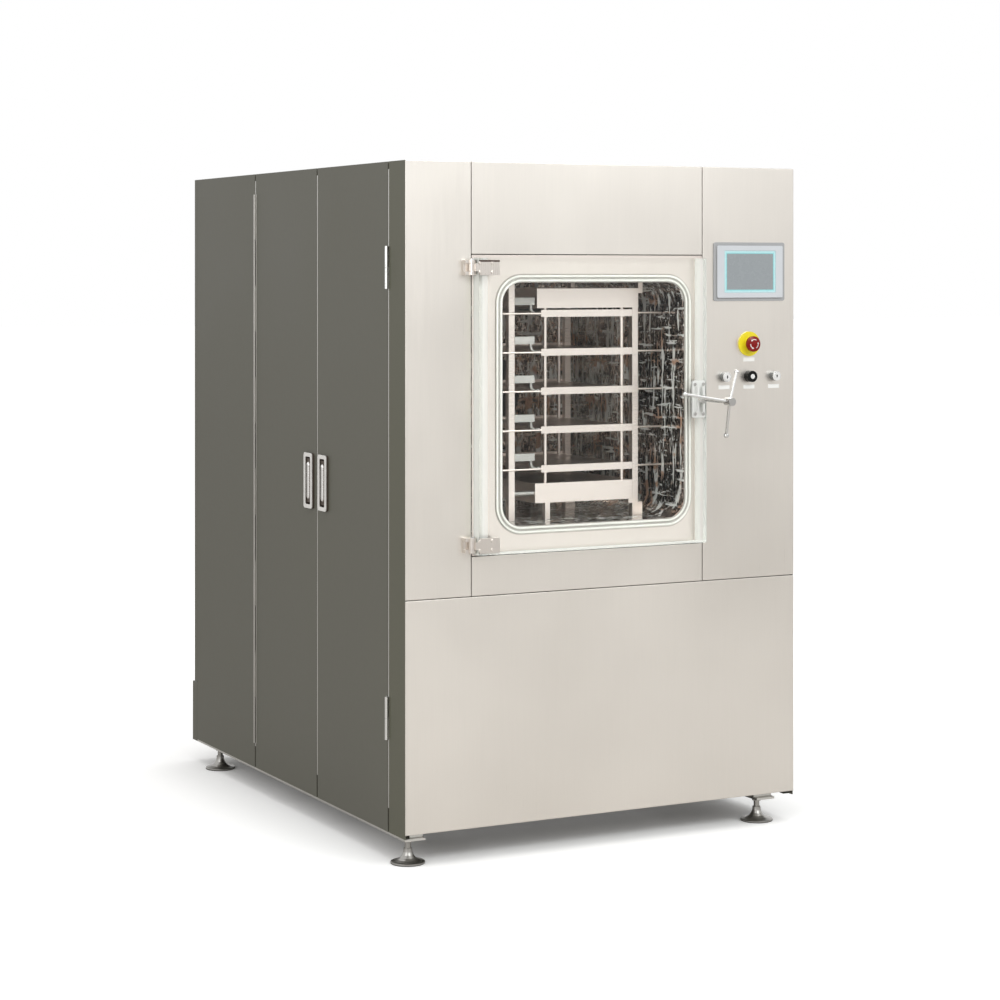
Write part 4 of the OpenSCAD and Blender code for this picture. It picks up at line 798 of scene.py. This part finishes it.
def latch_grips():
    """A bright rounded bar along each latch lever."""
    for name in ("latch_lever_front", "latch_lever_rear"):
        lo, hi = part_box(name)
        at = Vector((lo[0], middle(lo, hi, 1) + GRIP_BACK, middle(lo, hi, 2)))
        obj = new_piece(name.replace("lever", "grip"), name, EXTRA["grip"])

        def build(bm):
            steps = 16
            sides = 20
            hx, hy, hz = GRIP_HALF
            start, end = GRIP_ROUND
            rings = []
            for i in range(2 * steps + 1):
                t = i / steps - 1
                s = math.sqrt(1 - max(0.0, (abs(t) - start) / (end - start)) ** 2)
                rings.append([bm.verts.new(at + Vector((hx * s * math.sin(a), hy * s * math.cos(a),
                                                        hz * t))) for a in turns(sides)])
            for a, b in zip(rings, rings[1:]):
                for k in range(sides):
                    bm.faces.new((a[k], a[k - 1], b[k - 1], b[k]))
            bm.faces.new(rings[0])
            bm.faces.new(rings[-1])
        fill(obj, build, 40)


ROD_R = 0.005
THREAD_HEIGHT = 0.0007
THREAD_PITCH = 0.004
# From the front of the handle to the back of its hub
HUB_LENGTH = 0.0312
COLLAR_GAP = 0.0008


def clamp_thread():
    """Rolled thread on the clamp screw between the hub and the collar."""
    lo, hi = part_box("clamp_collar")
    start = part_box("clamp_handle")[0][1] + HUB_LENGTH
    origin = (middle(lo, hi, 0), start, middle(lo, hi, 2))
    length = lo[1] - COLLAR_GAP - start
    obj = new_piece("clamp_thread", "clamp_handle", EXTRA["thread"])

    def build(bm):
        helix(bm, origin, (0, 1, 0), ROD_R, THREAD_HEIGHT, THREAD_PITCH, length)
    fill(obj, build, 50)


SCREW_R = 0.0042
SCREW_H = 0.0022
# From the outer end of a hinge block to its middle, and the screws' places round that
HINGE_MIDDLE = 0.0195
SCREW_X = (0.022, 0.058)
SCREW_Z = (-0.012, 0.012)


def hinge_screws():
    """Four domed socket-head screws on each hinge plate."""
    lo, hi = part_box("door_hinge_blocks")
    r, h = SCREW_R, SCREW_H
    profile = [(r, 0), (r, h * 0.5), (r * 0.9, h * 0.8), (r * 0.6, h), (r * 0.5, h),
               (r * 0.5, h * 0.4), (0, h * 0.35)]
    obj = new_piece("door_hinge_screws", "chamber_door", MATERIALS["hinge_steel"])

    def build(bm):
        for z in (lo[2] + HINGE_MIDDLE, hi[2] - HINGE_MIDDLE):
            for dx in SCREW_X:
                for dz in SCREW_Z:
                    revolve(bm, profile, (lo[0] + dx, lo[1], z + dz), (0, -1, 0), 24)
    fill(obj, build)


foot_pads()
gasket_lips()
latch_grips()
clamp_thread()
hinge_screws()


# ---- stage and light ----

WORLD_TINT = (1.0, 0.99, 0.97)
WORLD_LIGHT = 0.62

FLOOR_HALF = 60.0
FLOOR_WHITE = (0.9, 0.9, 0.9)
FLOOR_GREY = (0.68, 0.66, 0.64)
# Two distances from the middle of the floor, and the strength of its glow there
FLOOR_NEAR = (1.2, 3.5)
FLOOR_GLOW = (0.42, 0.52)
# How far round the object its contact shadow reaches, and how deep it is
SHADOW_REACH = 0.24
SHADOW_POWER = 1.2

# Name, place, aim, size in metres, power in watts, colour
LAMPS = (
    ("key", (1.1, -5.6, 4.4), (0.0, -0.4, 1.3), (4.5, 2.2), 150, (0.97, 1.0, 1.0)),
    ("fill", (-5.0, -3.0, 2.4), (-0.3, 0.0, 0.9), (3.0, 3.0), 60, (1.0, 1.0, 1.0)),
    ("top", (0.0, 0.0, 5.0), (0.0, 0.0, 0.0), (4.0, 4.0), 60, (1.0, 1.0, 1.0)),
)


def make_world():
    """White to the camera, to metal and through glass; plain even light on the object."""
    world = bpy.data.worlds.new("studio")
    scene.world = world
    t = Tree(world, "ShaderNodeOutputWorld")
    seen = t.seen_by("Is Camera Ray", "Is Glossy Ray", "Is Transmission Ray")
    light = t.shader("ShaderNodeBackground", WORLD_TINT, WORLD_LIGHT)
    white = t.shader("ShaderNodeBackground", (1.0, 1.0, 1.0), 1.0)
    t.link(t.shader("ShaderNodeMixShader", seen, light, white), t.out.inputs[0])


def make_floor():
    """White with the object's soft shadow where it is looked at; plain grey to other rays."""
    mesh = bpy.data.meshes.new("floor")
    obj = bpy.data.objects.new("floor", mesh)
    scene.collection.objects.link(obj)
    r = FLOOR_HALF
    mesh.from_pydata([(-r, -r, 0), (r, -r, 0), (r, r, 0), (-r, r, 0)], [], [(0, 1, 2, 3)])
    mat = bpy.data.materials.new("floor")
    t = Tree(mat, "ShaderNodeOutputMaterial")

    away = t.add("ShaderNodeVectorMath", operation="LENGTH")
    t.link(t.add("ShaderNodeTexCoord").outputs["Object"], away.inputs[0])
    ramp = t.remap(away.outputs["Value"], *FLOOR_NEAR, *FLOOR_GLOW)
    open_sky = t.add("ShaderNodeAmbientOcclusion", samples=8)
    open_sky.inputs["Distance"].default_value = SHADOW_REACH
    bare = t.math("POWER", open_sky.outputs["AO"], SHADOW_POWER)
    glow = t.shader("ShaderNodeEmission", (1.0, 1.0, 1.0), t.math("MULTIPLY", bare, ramp))

    white = t.shader("ShaderNodeAddShader", t.shader("ShaderNodeBsdfDiffuse", FLOOR_WHITE), glow)
    grey = t.shader("ShaderNodeBsdfDiffuse", FLOOR_GREY)
    seen = t.seen_by("Is Camera Ray", "Is Transmission Ray")
    t.link(t.shader("ShaderNodeMixShader", seen, grey, white), t.out.inputs[0])
    mesh.materials.append(mat)


def area_lamp(name, at, to, size, power, color):
    lamp = bpy.data.lights.new(name, "AREA")
    lamp.shape = "RECTANGLE"
    lamp.size, lamp.size_y = size
    lamp.energy = power
    lamp.color = color
    obj = bpy.data.objects.new(name, lamp)
    scene.collection.objects.link(obj)
    obj.location = at
    obj.rotation_euler = (Vector(to) - Vector(at)).to_track_quat("-Z", "Y").to_euler()


make_world()
make_floor()
for lamp in LAMPS:
    area_lamp(*lamp)
